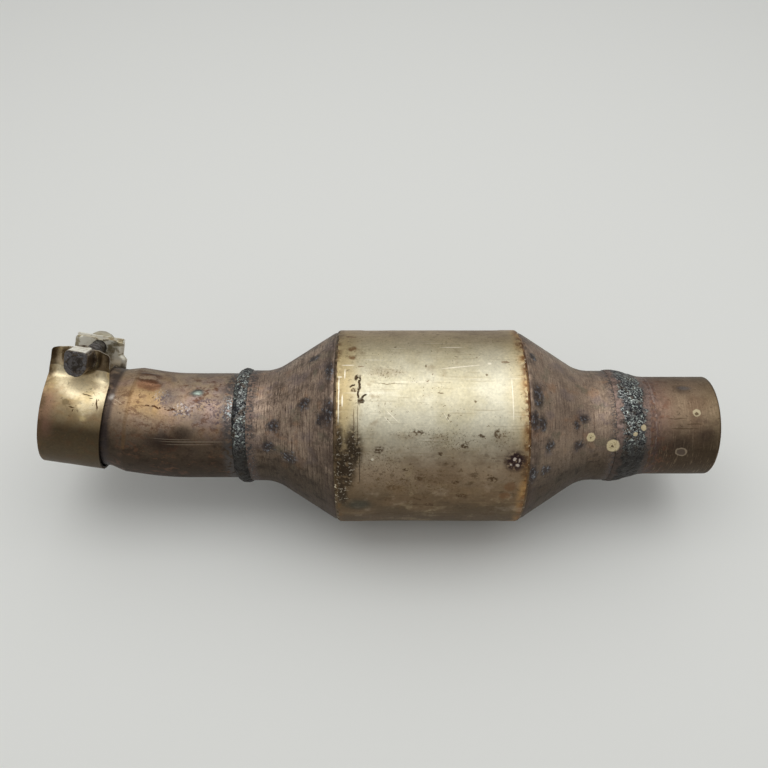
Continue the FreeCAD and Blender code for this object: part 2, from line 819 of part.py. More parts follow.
def check_and_write():
    """Stop on any failed feature, then write one file for each piece."""
    doc.recompute()
    for item in doc.Objects:
        if "Invalid" in item.State or "Error" in item.State:
            raise RuntimeError(f"{item.Name} failed: {item.State}")
    pieces = [
        item for item in doc.Objects
        if item.TypeId in ("PartDesign::Body", "Part::Feature")
    ]
    for piece in pieces:
        if piece.Shape.isNull() or not piece.Shape.isValid():
            raise RuntimeError(f"{piece.Label} has no sound shape")
    os.makedirs("parts", exist_ok=True)
    for piece in pieces:
        piece.Shape.exportStep(f"parts/{piece.Label}.step")


make_all()
check_and_write()
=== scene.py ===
import math

import bmesh
import bpy
import numpy as np
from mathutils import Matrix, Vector


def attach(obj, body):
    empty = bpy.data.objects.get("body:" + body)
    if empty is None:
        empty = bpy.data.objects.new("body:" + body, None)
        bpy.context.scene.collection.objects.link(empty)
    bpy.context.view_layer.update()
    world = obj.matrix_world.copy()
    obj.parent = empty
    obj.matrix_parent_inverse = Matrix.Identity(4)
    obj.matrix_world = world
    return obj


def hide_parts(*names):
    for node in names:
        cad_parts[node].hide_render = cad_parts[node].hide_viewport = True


# A used diesel particulate filter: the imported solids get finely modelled
# skins, welds and fasteners, each with its own procedural finish.
# Lengths here are in millimetres and turn to metres where meshes are made.
# Angles round a pipe are in degrees, from the top towards the front.

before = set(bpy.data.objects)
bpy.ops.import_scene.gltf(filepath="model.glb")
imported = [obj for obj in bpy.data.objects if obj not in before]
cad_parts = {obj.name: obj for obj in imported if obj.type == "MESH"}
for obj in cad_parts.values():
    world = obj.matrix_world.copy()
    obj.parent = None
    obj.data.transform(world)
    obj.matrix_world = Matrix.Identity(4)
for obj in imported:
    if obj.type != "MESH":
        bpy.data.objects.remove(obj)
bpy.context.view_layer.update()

MM = 0.001


# Sizes repeated from the part's source.

CAN_START, CAN_END, CAN_R = -209.0, -109.5, 55.0
SHEET = 1.5
SKIRT_R = 53.4
SKIRT_INSERT = 8.0
INLET_CORNER, INLET_RIM, INLET_NECK_R = -246.0, -261.0, 31.75
OUTLET_CORNER, OUTLET_RIM, OUTLET_NECK_R = -73.0, -56.0, 31.5
SHOULDER, SHOULDER_R, THROAT_R = 2.5, 4.0, 24.0
PIPE_START = -251.0
PIPE_R = 30.15
STRAIGHT = 43.0
BEND_R, BEND, ROLL = 120.0, math.radians(11.0), math.radians(15.0)
BEND_RUN = BEND_R * BEND
LEG, SWAGE_RUN, SWAGED = 12.9, 4.0, 37.5
SWAGED_R = PIPE_R - 2.2
PIPE_END = PIPE_START - STRAIGHT - BEND_RUN - LEG - SWAGE_RUN - SWAGED
OUTLET_R, SWELL_R = 28.0, 29.9
OUTLET_STUB, SWELL_LAND, PIPE_INSERT = 35.0, 2.0, 10.0
MONOLITH_R, MONOLITH_LENGTH = 49.5, 78.0
CAN_MIDDLE = (CAN_START + CAN_END) / 2
SLEEVE, BAND_T, BAND_WIDTH = 1.2, 1.4, 32.5
BAND_MID_R = SWAGED_R + SLEEVE + BAND_T / 2
BAND_OUT_R = BAND_MID_R + BAND_T / 2
CLAMP_ROLL = ROLL + math.radians(22.0)
EAR_GAP, EAR_RISE, BOLT_RISE, ROOT_BEND, BAND_OVERHANG = 33.0, 9.6, 4.3, 5.0, 1.0
EAR_Y = EAR_GAP / 2 + BAND_T / 2
EAR_TOP = BAND_OUT_R + EAR_RISE
EAR_WIDTH, FAR_EAR_WIDTH = 30.5, 27.8
BOLT_Z = BAND_OUT_R + BOLT_RISE
ROOT_R = ROOT_BEND + BAND_T / 2
DISH_R, DISH_DEPTH = 7.6, 2.5
BAR_DEPTH = 5.0
WASHER_R, WASHER_T, NUT_LENGTH, HEX = 7.5, 1.6, 13.0, 12.0
NUT_HALF, NUT_RISE, NUT_DROP = 6.0, 6.7, 1.4
FLANGE_R, FLANGE_T, HEAD_HEIGHT, BOLT_R = 8.5, 1.5, 6.0, 4.0
NEAR_SEAT = EAR_Y + BAND_T / 2 - DISH_DEPTH
FAR_SEAT = EAR_Y + BAND_T / 2 + BAR_DEPTH
NUT_START = NEAR_SEAT + WASHER_T
NUT_STOP = NUT_START + NUT_LENGTH
BOLT_TIP = NUT_STOP - 0.1

# Radii at which the angles of a skin are unrolled for its paint.

CONE_UNROLL, WELD_UNROLL, BAND_UNROLL = 40.0, 32.0, 30.0


# Noise over points, for relief that is the same on every run.

def lattice(x, y, z, seed):
    """Give each lattice point a fixed number between -1 and 1."""
    mixed = x * 374761393 + y * 668265263 + z * 1274126177 + seed * 974634777
    mixed = mixed & 0xFFFFFFFF
    mixed = ((mixed ^ (mixed >> 13)) * 1274126177) & 0xFFFFFFFF
    mixed = mixed ^ (mixed >> 16)
    return (mixed & 0xFFFF) / 32767.5 - 1.0


def noise(points, scale, seed=0):
    """Smooth noise between -1 and 1, with features about scale wide."""
    scaled = points / scale
    cell = np.floor(scaled).astype(np.int64)
    part = scaled - cell
    ease = part * part * (3 - 2 * part)
    total = np.zeros(points.shape[:-1])
    for corner in np.ndindex(2, 2, 2):
        weight = np.ones(points.shape[:-1])
        for axis in range(3):
            share = ease[..., axis]
            weight = weight * (share if corner[axis] else 1 - share)
        at = [cell[..., axis] + corner[axis] for axis in range(3)]
        total += weight * lattice(*at, seed)
    return total


def layered(points, scale, seed=0, octaves=3):
    """Add up finer and finer noise."""
    return sum(
        noise(points, scale / 2 ** octave, seed + octave) / 2 ** octave
        for octave in range(octaves)
    )


def ease_step(value, low, high):
    """Rise smoothly from 0 at low to 1 at high."""
    share = np.clip((value - low) / (high - low), 0, 1)
    return share * share * (3 - 2 * share)


def bump_at(along, degrees, x, angle, half_x, half_angle, turn=0.0):
    """Make a round-topped bump, 1 at its centre and 0 outside its reach."""
    u = (along - x) / half_x
    v = (degrees - angle) / half_angle
    c, s = math.cos(math.radians(turn)), math.sin(math.radians(turn))
    near = (u * c + v * s) ** 2 + (v * c - u * s) ** 2
    return np.exp(-near * 2.2)


# Axes that the round pieces are turned about.

def can_axis(x):
    """Centre, upward and frontward directions along the straight axis."""
    centre = np.stack([x, np.zeros_like(x), np.zeros_like(x)], -1)
    up = np.broadcast_to([0.0, 0.0, 1.0], centre.shape)
    front = np.broadcast_to([0.0, -1.0, 0.0], centre.shape)
    return centre, up, front


def inlet_axis(x):
    """The same along the bent inlet pipe, x being run back from the can."""
    run = PIPE_START - x
    bent = np.clip((run - STRAIGHT) / BEND_R, 0, BEND)
    leg = np.clip(run - STRAIGHT - BEND_RUN, 0, None)
    flat = np.clip(run, None, STRAIGHT)
    along = flat + BEND_R * np.sin(bent) + leg * np.cos(bent)
    rise = BEND_R * (1 - np.cos(bent)) + leg * np.sin(bent)
    side = np.array([0.0, math.sin(ROLL), math.cos(ROLL)])
    centre = np.stack([PIPE_START - along, rise * side[1], rise * side[2]], -1)
    inner = np.stack([np.sin(bent), np.cos(bent) * side[1], np.cos(bent) * side[2]], -1)
    across = np.broadcast_to([0.0, -math.cos(ROLL), math.sin(ROLL)], inner.shape)
    up = inner * math.cos(ROLL) + across * math.sin(ROLL)
    front = across * math.cos(ROLL) - inner * math.sin(ROLL)
    return centre, up, front


def clamp_frame():
    """Centre of the band and its directions: outward, near ear, ear tops."""
    x = np.array(PIPE_END - BAND_OVERHANG + BAND_WIDTH / 2)
    centre, up, front = inlet_axis(x)
    near = up * math.sin(CLAMP_ROLL) + front * math.cos(CLAMP_ROLL)
    top = up * math.cos(CLAMP_ROLL) - front * math.sin(CLAMP_ROLL)
    return centre, np.cross(front, up), near, top


CLAMP_CENTRE, CLAMP_OUT, CLAMP_NEAR, CLAMP_UP = clamp_frame()


def clamp_place(points):
    """Take points from the clamp's own frame to the part's frame."""
    return (
        CLAMP_CENTRE
        + points[..., :1] * CLAMP_OUT
        + points[..., 1:2] * CLAMP_NEAR
        + points[..., 2:] * CLAMP_UP
    )


def bolt_axis(y):
    """Centre and directions along the bolt, which runs between the ears."""
    base = CLAMP_CENTRE + CLAMP_UP * BOLT_Z
    centre = base + y[..., None] * CLAMP_NEAR
    up = np.broadcast_to(CLAMP_UP, centre.shape)
    front = np.broadcast_to(CLAMP_OUT, centre.shape)
    return centre, up, front


# Meshes.

INSIDE_STEP = 6.0


def add_piece(name, points, faces, paint, nodes=(), runs=None, crease=35):
    """Make a mesh piece of the part that stands for the named nodes."""
    mesh = bpy.data.meshes.new(name)
    mesh.from_pydata((np.asarray(points) * MM).tolist(), [], faces)
    mesh.update()
    mesh.polygons.foreach_set("use_smooth", [True] * len(mesh.polygons))
    mesh.set_sharp_from_angle(angle=math.radians(crease))
    if runs is not None:
        layer = mesh.attributes.new("run", "FLOAT_VECTOR", "CORNER")
        layer.data.foreach_set("vector", np.asarray(runs, np.float32).ravel())
    mesh.materials.append(paint)
    piece = bpy.data.objects.new(name, mesh)
    bpy.context.scene.collection.objects.link(piece)
    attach(piece, "root")
    if nodes:
        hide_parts(*nodes)
    return piece


def resample(profile, step):
    """Divide a profile's runs into even steps, keeping its corners."""
    made = [np.array([profile[0]], float)]
    for start, stop in zip(profile, profile[1:]):
        start, stop = np.array(start, float), np.array(stop, float)
        count = max(1, int(math.ceil(np.linalg.norm(stop - start) / step)))
        share = np.arange(1, count + 1)[:, None] / count
        made.append(start + (stop - start) * share)
    return np.concatenate(made)


def grid_quads(rows, columns, close_rows):
    """List the quads of a grid that closes round its columns."""
    i = np.arange(rows if close_rows else rows - 1)[:, None]
    j = np.arange(columns)[None, :]
    i, j = np.broadcast_arrays(i, j)
    corners = [(i, j), (i + 1, j), (i + 1, j + 1), (i, j + 1)]
    index = [(a % rows) * columns + (b % columns) for a, b in corners]
    return np.stack(index, -1).reshape(-1, 4), corners


def oriented(points, quads, runs):
    """Turn every face of a closed skin outward if it faces inward."""
    a, b, c, d = (points[quads[:, k]] for k in range(4))
    volume = (a * np.cross(b, c)).sum() + (a * np.cross(c, d)).sum()
    if volume < 0:
        return quads[:, ::-1], runs.reshape(-1, 4, 3)[:, ::-1].reshape(-1, 3)
    return quads, runs


def turned(name, outside, inside, axis, paint, nodes=(), *, step, segments,
           reference, relief=None, shape=None, crease=35):
    """Turn a wall section about an axis, with relief on its outside.

    The section runs out along the outside and back along the inside. With no
    inside the piece is solid and gets flat ends. The reference is the radius at
    which angles are unrolled for the paint.
    """
    outer = resample(outside, step)
    inner = resample(inside, INSIDE_STEP)[::-1] if inside else np.zeros((0, 2))
    section = np.concatenate([outer, inner])
    is_inside = np.concatenate([np.zeros(len(outer)), np.ones(len(inner))])
    degrees = -180 + 360 * np.arange(segments) / segments
    along, angle = np.meshgrid(section[:, 0], degrees, indexing="ij")
    radius = np.repeat(section[:, 1:], segments, 1)
    if shape is not None:
        radius = shape(along, angle, radius)
    centre, up, front = axis(along)
    turn = np.radians(angle)
    out = up * np.cos(turn)[..., None] + front * np.sin(turn)[..., None]
    if relief is not None:
        rest = centre + out * radius[..., None]
        radius = radius + relief(rest, along, angle) * (1 - is_inside[:, None])
    points = (centre + out * radius[..., None]).reshape(-1, 3)
    quads, corners = grid_quads(len(section), segments, bool(inside))
    runs = np.stack([
        np.stack([
            section[a % len(section), 0], np.radians(-180 + 360 * b / segments) * reference,
            is_inside[a % len(section)],
        ], -1)
        for a, b in corners
    ], -2).reshape(-1, 3)
    quads, runs = oriented(points, quads, runs)
    faces = quads.tolist()
    if not inside:
        last = (len(section) - 1) * segments
        faces.append(list(range(segments)))
        faces.append([last + k for k in reversed(range(segments))])
        caps = np.zeros((2 * segments, 3))
        caps[:, 0] = np.repeat([section[0, 0], section[-1, 0]], segments)
        runs = np.concatenate([runs, caps])
    add_piece(name, points, faces, paint, nodes, runs, crease)


def fillet(corner, before, after, radius, count=8):
    """Round a profile's corner with an arc that meets both runs."""
    corner, before, after = (Vector(p) for p in (corner, before, after))
    back = (before - corner).normalized()
    ahead = (after - corner).normalized()
    half = back.angle(ahead) / 2
    reach = radius / math.tan(half)
    start, stop = corner + back * reach, corner + ahead * reach
    centre = corner + (back + ahead).normalized() * (radius / math.sin(half))
    first, last = start - centre, stop - centre
    sweep = first.angle_signed(last)
    made = []
    for k in range(count + 1):
        turn = -sweep * k / count
        c, s = math.cos(turn), math.sin(turn)
        made.append((centre.x + first.x * c - first.y * s, centre.y + first.x * s + first.y * c))
    return made


# Materials.

SOOT = (38, 34, 30)


def srgb(red, green, blue):
    """Turn a screen colour of 0 to 255 into a linear one."""
    made = []
    for value in (red, green, blue):
        value /= 255
        made.append(value / 12.92 if value <= 0.04045 else ((value + 0.055) / 1.055) ** 2.4)
    return tuple(made)


class Paint:
    """One procedural finish, laid down coat by coat over an unrolled skin.

    The place of a coat is a mask, or the numbers of patches: scale, low, high and
    then, as needed, seed, detail, roughness and stretch. A list means the places
    that all its entries share. Colours are screen values.
    """

    def __init__(self, name, colour, roughness, metallic=1.0, reference=1.0,
                 skin=True, solid=False, sooty=True, loose=None):
        self.material = bpy.data.materials.new(name)
        self.material.use_nodes = True
        self.tree = self.material.node_tree
        self.shader = self.tree.nodes["Principled BSDF"]
        self.reference = reference
        self.colour = (*srgb(*colour), 1.0)
        self.rough = roughness
        self.metal = metallic
        self.height = None
        self.sooty = skin and sooty
        if skin:
            self.run = self.make("Attribute", {"attribute_name": "run"})["Vector"]
            self.along, self.around, self.inner = self.make("SeparateXYZ", {}, {0: self.run})
        if solid or not skin:
            place = self.make("TexCoord", {})["Object"]
            self.run = self.vector("SCALE", place, scale=1 / MM)[0]
        self.loose = self.wobbled(*loose) if loose else self.run

    def feed(self, node, inputs):
        """Link each of a node's inputs to a socket, or set it to a constant."""
        for key, value in inputs.items():
            if isinstance(value, bpy.types.NodeSocket):
                self.tree.links.new(value, node.inputs[key])
            else:
                node.inputs[key].default_value = value

    def make(self, kind, settings, inputs=None):
        """Add a node with its settings and what feeds it, and give its outputs."""
        node = self.tree.nodes.new("ShaderNode" + kind)
        for key, value in settings.items():
            setattr(node, key, value)
        self.feed(node, inputs or {})
        return node.outputs

    def maths(self, operation, first, second=0.0, clamp=False):
        """Work out one sum on masks or coordinates."""
        return self.make("Math", {"operation": operation, "use_clamp": clamp},
                         {0: first, 1: second})[0]

    def vector(self, operation, first, second=(0, 0, 0), scale=1.0):
        """Work out one sum on points or colours."""
        return self.make("VectorMath", {"operation": operation}, {0: first, 1: second, 3: scale})

    def mapped(self, points, centre, size, turn=0.0):
        """Points measured from a centre in units of a size, turned about it."""
        return self.make("Mapping", {"vector_type": "TEXTURE"}, {
            "Vector": points, "Location": centre, "Scale": size,
            "Rotation": (0.0, 0.0, math.radians(turn)),
        })[0]

    def rise(self, value, low, high):
        """Mask that rises from 0 at low to 1 at high, or falls if low > high."""
        falls = float(low > high)
        return self.make("MapRange", {"interpolation_type": "SMOOTHSTEP"}, {
            0: value, 1: min(low, high), 2: max(low, high), 3: falls, 4: 1 - falls,
        })[0]

    def noise(self, scale, seed=0, detail=4, rough=0.55, stretch=(1, 1, 1)):
        """Noise from 0 to 1 with features about scale millimetres across."""
        centre = (seed * 37.7, seed * 91.3, seed * 13.1)
        size = tuple(scale * each for each in stretch)
        return self.make("TexNoise", {}, {
            "Vector": self.mapped(self.run, centre, size), "Scale": 1.0,
            "Detail": detail, "Roughness": rough,
        })[0]

    def swing(self, amount, *numbers):
        """Noise about zero, times an amount."""
        centred = self.maths("SUBTRACT", self.noise(*numbers), 0.5)
        return self.maths("MULTIPLY", centred, amount)

    def patches(self, scale, low, high, *more):
        """Irregular patches: where noise is over high the mask is 1."""
        return self.rise(self.noise(scale, *more), low, high)

    def grains(self, scale, low, high, seed):
        """Round grains: cells whose centres are nearer than low."""
        cells = self.mapped(self.run, (seed * 17.7, seed * 9.3, 0.0), (scale,) * 3)
        far = self.make("TexVoronoi", {}, {"Vector": cells, "Scale": 1.0})["Distance"]
        return self.rise(far, high, low)

    def either(self, first, second):
        """Where either mask holds."""
        return self.maths("MAXIMUM", first, second)

    def outside(self, mask):
        """Where a mask doesn't hold."""
        return self.maths("SUBTRACT", 1.0, mask, clamp=True)

    def where(self, place):
        """The mask of a coat's place."""
        if isinstance(place, tuple):
            return self.patches(*place)
        if not isinstance(place, list):
            return place
        total, *others = [self.where(part) for part in place]
        for other in others:
            total = self.maths("MULTIPLY", total, other)
        return total

    def beyond(self, start, full):
        """Mask that grows along the skin from one place to another."""
        return self.rise(self.along, start, full)

    def turned_past(self, start, full):
        """Mask that grows round the skin from one angle to another."""
        unit = math.radians(1.0) * self.reference
        return self.rise(self.around, start * unit, full * unit)

    def span(self, low, high, soft):
        """Mask between two angles round the skin."""
        return self.where([self.turned_past(low - soft, low + soft),
                           self.turned_past(high + soft, high - soft)])

    def below(self, start, full, back_start, back_full):
        """Mask over the underside, growing down the front and the back."""
        return self.either(self.turned_past(start, full), self.turned_past(back_start, back_full))

    def wobbled(self, amount, scale):
        """The skin's coordinates, pushed about by noise."""
        points = self.mapped(self.run, (0, 0, 0), (scale,) * 3)
        swing = self.make("TexNoise", {}, {"Vector": points, "Scale": 1.0, "Detail": 2.0})
        centred = self.vector("SUBTRACT", swing["Color"], (0.5, 0.5, 0.5))[0]
        push = self.vector("SCALE", centred, scale=amount)[0]
        return self.vector("ADD", self.run, push)[0]

    def spots(self, places, edge=0.3, over=None):
        """Oval marks: along, degrees round, half sizes both ways and any turn."""
        total = None
        for x, degrees, long, wide, *turn in places:
            centre = (x, math.radians(degrees) * self.reference, 0.0)
            points = self.mapped(over or self.loose, centre, (long, wide, 1e4), *turn)
            mark = self.rise(self.vector("LENGTH", points)["Value"], 1 + edge, 1 - edge)
            total = self.either(total, mark) if total else mark
        return total

    def seam(self, x, width, low, high, wobble, scale=4, seed=0):
        """A line round the skin at x, wandering, between two angles."""
        place = self.maths("ADD", self.along, self.swing(wobble, scale, seed, 3))
        off = self.maths("ABSOLUTE", self.maths("SUBTRACT", place, x))
        return self.where([self.rise(off, width * 1.5, width * 0.5), self.span(low, high, 2.0)])

    def mottle(self, scale, amount, seed):
        """Lighten and darken the colour finely, by an amount either way."""
        shade = self.make("MapRange", {}, {
            0: self.noise(scale, seed, 6, 0.72), 1: 0.3, 2: 0.7, 3: 1 - amount, 4: 1 + amount,
        })[0]
        self.colour = self.vector("SCALE", self.colour, scale=shade)[0]

    def raise_by(self, mask, height):
        """Add some millimetres to the fine relief where the mask is 1."""
        lift = self.maths("MULTIPLY", mask, height)
        self.height = self.maths("ADD", self.height, lift) if self.height else lift

    def roughen(self, mask, amount):
        """Change the roughness by an amount where the mask is 1."""
        more = self.maths("MULTIPLY", mask, amount)
        self.rough = self.maths("ADD", self.rough, more, clamp=True)

    def blend(self, mask, before, after):
        """Pass from one number to another where the mask is 1."""
        return self.make("Mix", {"data_type": "FLOAT"}, {0: mask, 2: before, 3: after})[0]

    def coat(self, place, colour, rough=None, share=1.0, height=0.0, metal=None):
        """Lay another finish over a place, with a height in millimetres."""
        mask = self.where(place)
        if height:
            self.raise_by(mask, height)
        if share < 1:
            mask = self.maths("MULTIPLY", mask, share)
        self.colour = self.make("Mix", {"data_type": "RGBA"}, {
            0: mask, 6: self.colour, 7: (*srgb(*colour), 1.0),
        })[2]
        if rough is not None:
            self.rough = self.blend(mask, self.rough, rough)
        if metal is not None:
            self.metal = self.blend(mask, self.metal, metal)

    def done(self):
        """Blacken the inside walls and join everything to the shader."""
        if self.sooty:
            self.coat(self.inner, SOOT, 0.9)
        bump = self.make("Bump", {}, {"Height": self.height, "Strength": 1.0, "Distance": MM})
        self.feed(self.shader, {"Base Color": self.colour, "Roughness": self.rough,
                                "Metallic": self.metal, "Normal": bump[0]})
        return self.material


# Finishes.

def can_paint():
    """Pale straw-tinted stainless sheet, darker below with dirt and painted shade, rusty at its
    joints.
    """
    p = Paint("can_finish", (220, 214, 190), 0.37, reference=CAN_R, loose=(2.2, 3))
    low = p.below(34, 68, -4, -48)
    left = p.beyond(-193, -205)
    p.coat((26, 0.4, 0.68, 1), (208, 199, 168))
    # Browner over the top: painted shade, standing for dark surroundings reflected there.
    p.coat(p.turned_past(12, -30), (200, 182, 142), share=0.7)
    p.coat(left, (192, 170, 122), share=0.8)
    p.coat(p.beyond(-124, -111), (214, 194, 146), share=0.6)
    # Darker towards the bottom: partly dirt, partly painted shade.
    p.coat(low, (166, 140, 114), 0.46, 0.85)
    p.coat(p.below(54, 88, -34, -74), (84, 69, 50), 0.52, 0.86)
    p.coat([low, (16, 0.45, 0.64, 2, 4, 0.55, (1.6, 1, 1))], (128, 106, 82), share=0.7)
    p.coat([(30, 0.5, 0.66, 12), (7, 0.5, 0.7, 13)], (166, 148, 118), share=0.7)
    streaks = p.noise(1.1, 3, 3, 0.55, (0.5, 40, 1))
    p.roughen(streaks, 0.1)
    p.raise_by(streaks, 0.012)
    p.coat([p.outside(low), (2, 0.62, 0.72, 4, 2, 0.55, (18, 0.5, 1))], (244, 238, 220), share=0.3)
    p.coat((1.6, 0.6, 0.7, 18, 2, 0.55, (16, 0.5, 1)), (158, 140, 106), share=0.35)
    p.coat([p.beyond(-204.6, -208.4), (4, 0.38, 0.6, 5)], (126, 98, 66), share=0.8)
    p.coat([p.beyond(-115.6, -110.4), (8, 0.3, 0.62, 20)], (186, 146, 92), share=0.75)
    p.coat([p.beyond(-113.4, -110), (2.6, 0.4, 0.6, 19, 6)], (120, 80, 50), share=0.85)
    stained = p.either(low, p.either(left, p.beyond(-118, -111)))
    p.coat([(2.6, 0.58, 0.68, 6, 6, 0.65), stained], (104, 84, 58), None, 0.8, -0.05)
    p.coat([low, (4.5, 0.56, 0.67, 7, 6, 0.68, (1.8, 1, 1))], (90, 72, 52), share=0.75)
    p.coat([(1.2, 0.63, 0.73, 8, 3), (18, 0.38, 0.56, 9)], (122, 100, 70))
    p.coat([low, (9, 0.54, 0.68, 21, 6)], (176, 158, 136), share=0.3)
    blots = p.spots([
        (-166.5, 41, 3.2, 0.9), (-186.5, 50.5, 2.6, 1.8), (-179, 74, 3.6, 1.8),
        (-166, 67.5, 2, 1.6, 30), (-142.7, 48.5, 1.8, 1.6), (-133.5, 43, 1.4, 0.9),
        (-143, 80, 3.2, 1.4), (-199.4, 18, 1.6, 1.2), (-150.5, 32, 0.6, 0.8),
        (-155, 53, 1.4, 1), (-147, 70, 2.2, 1), (-128, 68, 3, 1.6),
        (-126, 42, 1.8, 2.2), (-160, 88, 3.4, 1.2), (-173, 62, 1.6, 1),
    ])
    p.coat([blots, (1.3, 0.38, 0.54, 14)], (88, 68, 48), share=0.88)
    haze = p.spots([(-183.5, 7, 8.5, 2.2), (-172, 43, 7, 1.6), (-156, 44, 4, 2),
                    (-124, 44, 3, 3), (-178, 75, 6, 3), (-150, 52, 4, 2),
                    (-136, 77, 7, 3)], 0.6, p.wobbled(5, 2))
    p.coat(haze, (150, 126, 96), share=0.3)
    freckled = p.spots([(-183.5, 7, 9, 3.4), (-168, 42, 11, 2.4), (-150, 46, 14, 5),
                        (-124, 44, 4, 4), (-165, 72, 24, 8), (-186, 60, 10, 9)], 0.7, p.run)
    p.coat([(0.9, 0.56, 0.64, 24, 3), freckled], (108, 88, 62), share=0.8)
    dots = p.spots([
        (-177.8, -13, 0.6, 0.5), (-154.4, -29, 0.9, 0.7), (-130.6, 8.6, 0.6, 0.6),
        (-137, 24.5, 0.7, 0.7), (-151.3, 34, 0.5, 0.8, 30), (-145.3, -4.3, 1, 0.4),
        (-162, 2.8, 0.6, 0.8), (-155, 19.7, 1.4, 0.4), (-182, 14, 8, 0.2),
    ])
    p.coat(dots, (116, 98, 70), share=0.8)
    pocks = p.spots([(-200.8, -3.6, 1.9, 1.7), (-200.8, -10.8, 2.2, 2.4),
                     (-202, -25, 2.8, 1), (-120, 0, 2.2, 0.8),
                     (-111.5, -15.7, 1.4, 2), (-196, 2.8, 1.6, 0.5)])
    p.coat([pocks, (3, 0.3, 0.5, 23)], (128, 96, 64), share=0.85)
    crack = p.either(p.seam(-197, 0.5, 9, 26, 5, 7, 3), p.spots([
        (-194.4, 21.5, 1.9, 0.5, -35), (-198.4, 10.5, 1, 1.8, 20),
        (-195.4, 24, 1.2, 1.5), (-200.4, 15.5, 1.4, 0.5, -30),
    ]))
    p.coat([crack, (1.4, 0.3, 0.46, 15)], (74, 58, 40), height=-0.2)
    lines = p.either(p.seam(-197.4, 0.22, 27, 47, 2, 12, 5),
                     p.seam(-199.6, 0.3, 29, 50, 2.4, 12, 6))
    p.coat(lines, (110, 88, 60), share=0.7)
    p.coat(p.seam(-196.6, 0.25, 50, 70, 1, 9, 7), (56, 44, 34), None, 0.7, -0.1)
    # Painted highlights along both rim edges, with bright scratches elsewhere.
    rim_highlights_and_scratches = p.either(p.seam(-207.4, 0.3, 11, 36, 0.5), p.seam(-117.6, 0.2, 12, 34, 0.3))
    rim_highlights_and_scratches = p.either(rim_highlights_and_scratches, p.spots([
        (-202.8, 2.2, 3.2, 0.3), (-179.6, 32.5, 4.4, 0.2, 44), (-204.4, 8, 0.3, 3),
        (-182.2, 34.6, 3, 0.16, 50), (-143.5, 3.2, 11, 0.3, -7), (-207, 10, 1.2, 0.3),
        (-147.5, -12.5, 6, 0.3), (-205.5, 24, 0.4, 3), (-128.4, 0.8, 1, 0.7),
        (-152, 33, 2.4, 0.14, 60), (-190, 56, 0.7, 0.7), (-170, 13, 12, 0.12),
    ], over=p.run))
    p.coat(rim_highlights_and_scratches, (250, 242, 220), share=0.85)
    left_place = p.spots([(-200, 50, 4.6, 11), (-203.6, 62, 4.6, 11),
                          (-207, 56, 2.4, 18), (-206, 78, 2.6, 9)], 0.5)
    p.coat(left_place, (104, 88, 66), share=0.55)
    left_crust = p.where([left_place, (3.4, 0.36, 0.5, 10, 6)])
    p.coat(left_crust, (64, 53, 42), 0.5, 0.9, 0.1)
    p.coat(p.spots([(-116, 58, 7, 7.4)], 0.8), (116, 90, 66), share=0.55)
    right_place = p.spots([(-116.2, 57, 5.4, 5.6)], 0.4)
    p.coat([right_place, (2.4, 0.34, 0.5, 11)], (66, 50, 48), 0.4, height=0.12)
    # Painted glints on the spatter crusts at both ends.
    p.coat([left_crust, [(1.2, 0.55, 0.63, 25, 5), (4, 0.4, 0.54, 26)]], (206, 194, 174), share=0.8)
    p.coat(p.spots([(-115.2, 59.4, 1, 1.1), (-117, 55.6, 0.8, 0.7),
                    (-114.4, 56.4, 0.6, 1), (-118.2, 58.8, 0.6, 0.6)]),
           (220, 206, 192), share=0.85)
    p.coat(p.spots([(-197.4, 88, 6, 4.6)], 0.6), (62, 68, 62), share=0.6)
    p.coat(p.spots([(-118, 73, 3.2, 3), (-120.5, 80, 3, 2.4)]), (122, 84, 54), share=0.5)
    p.mottle(1.4, 0.15, 16)
    p.mottle(7, 0.09, 17)
    return p.done()


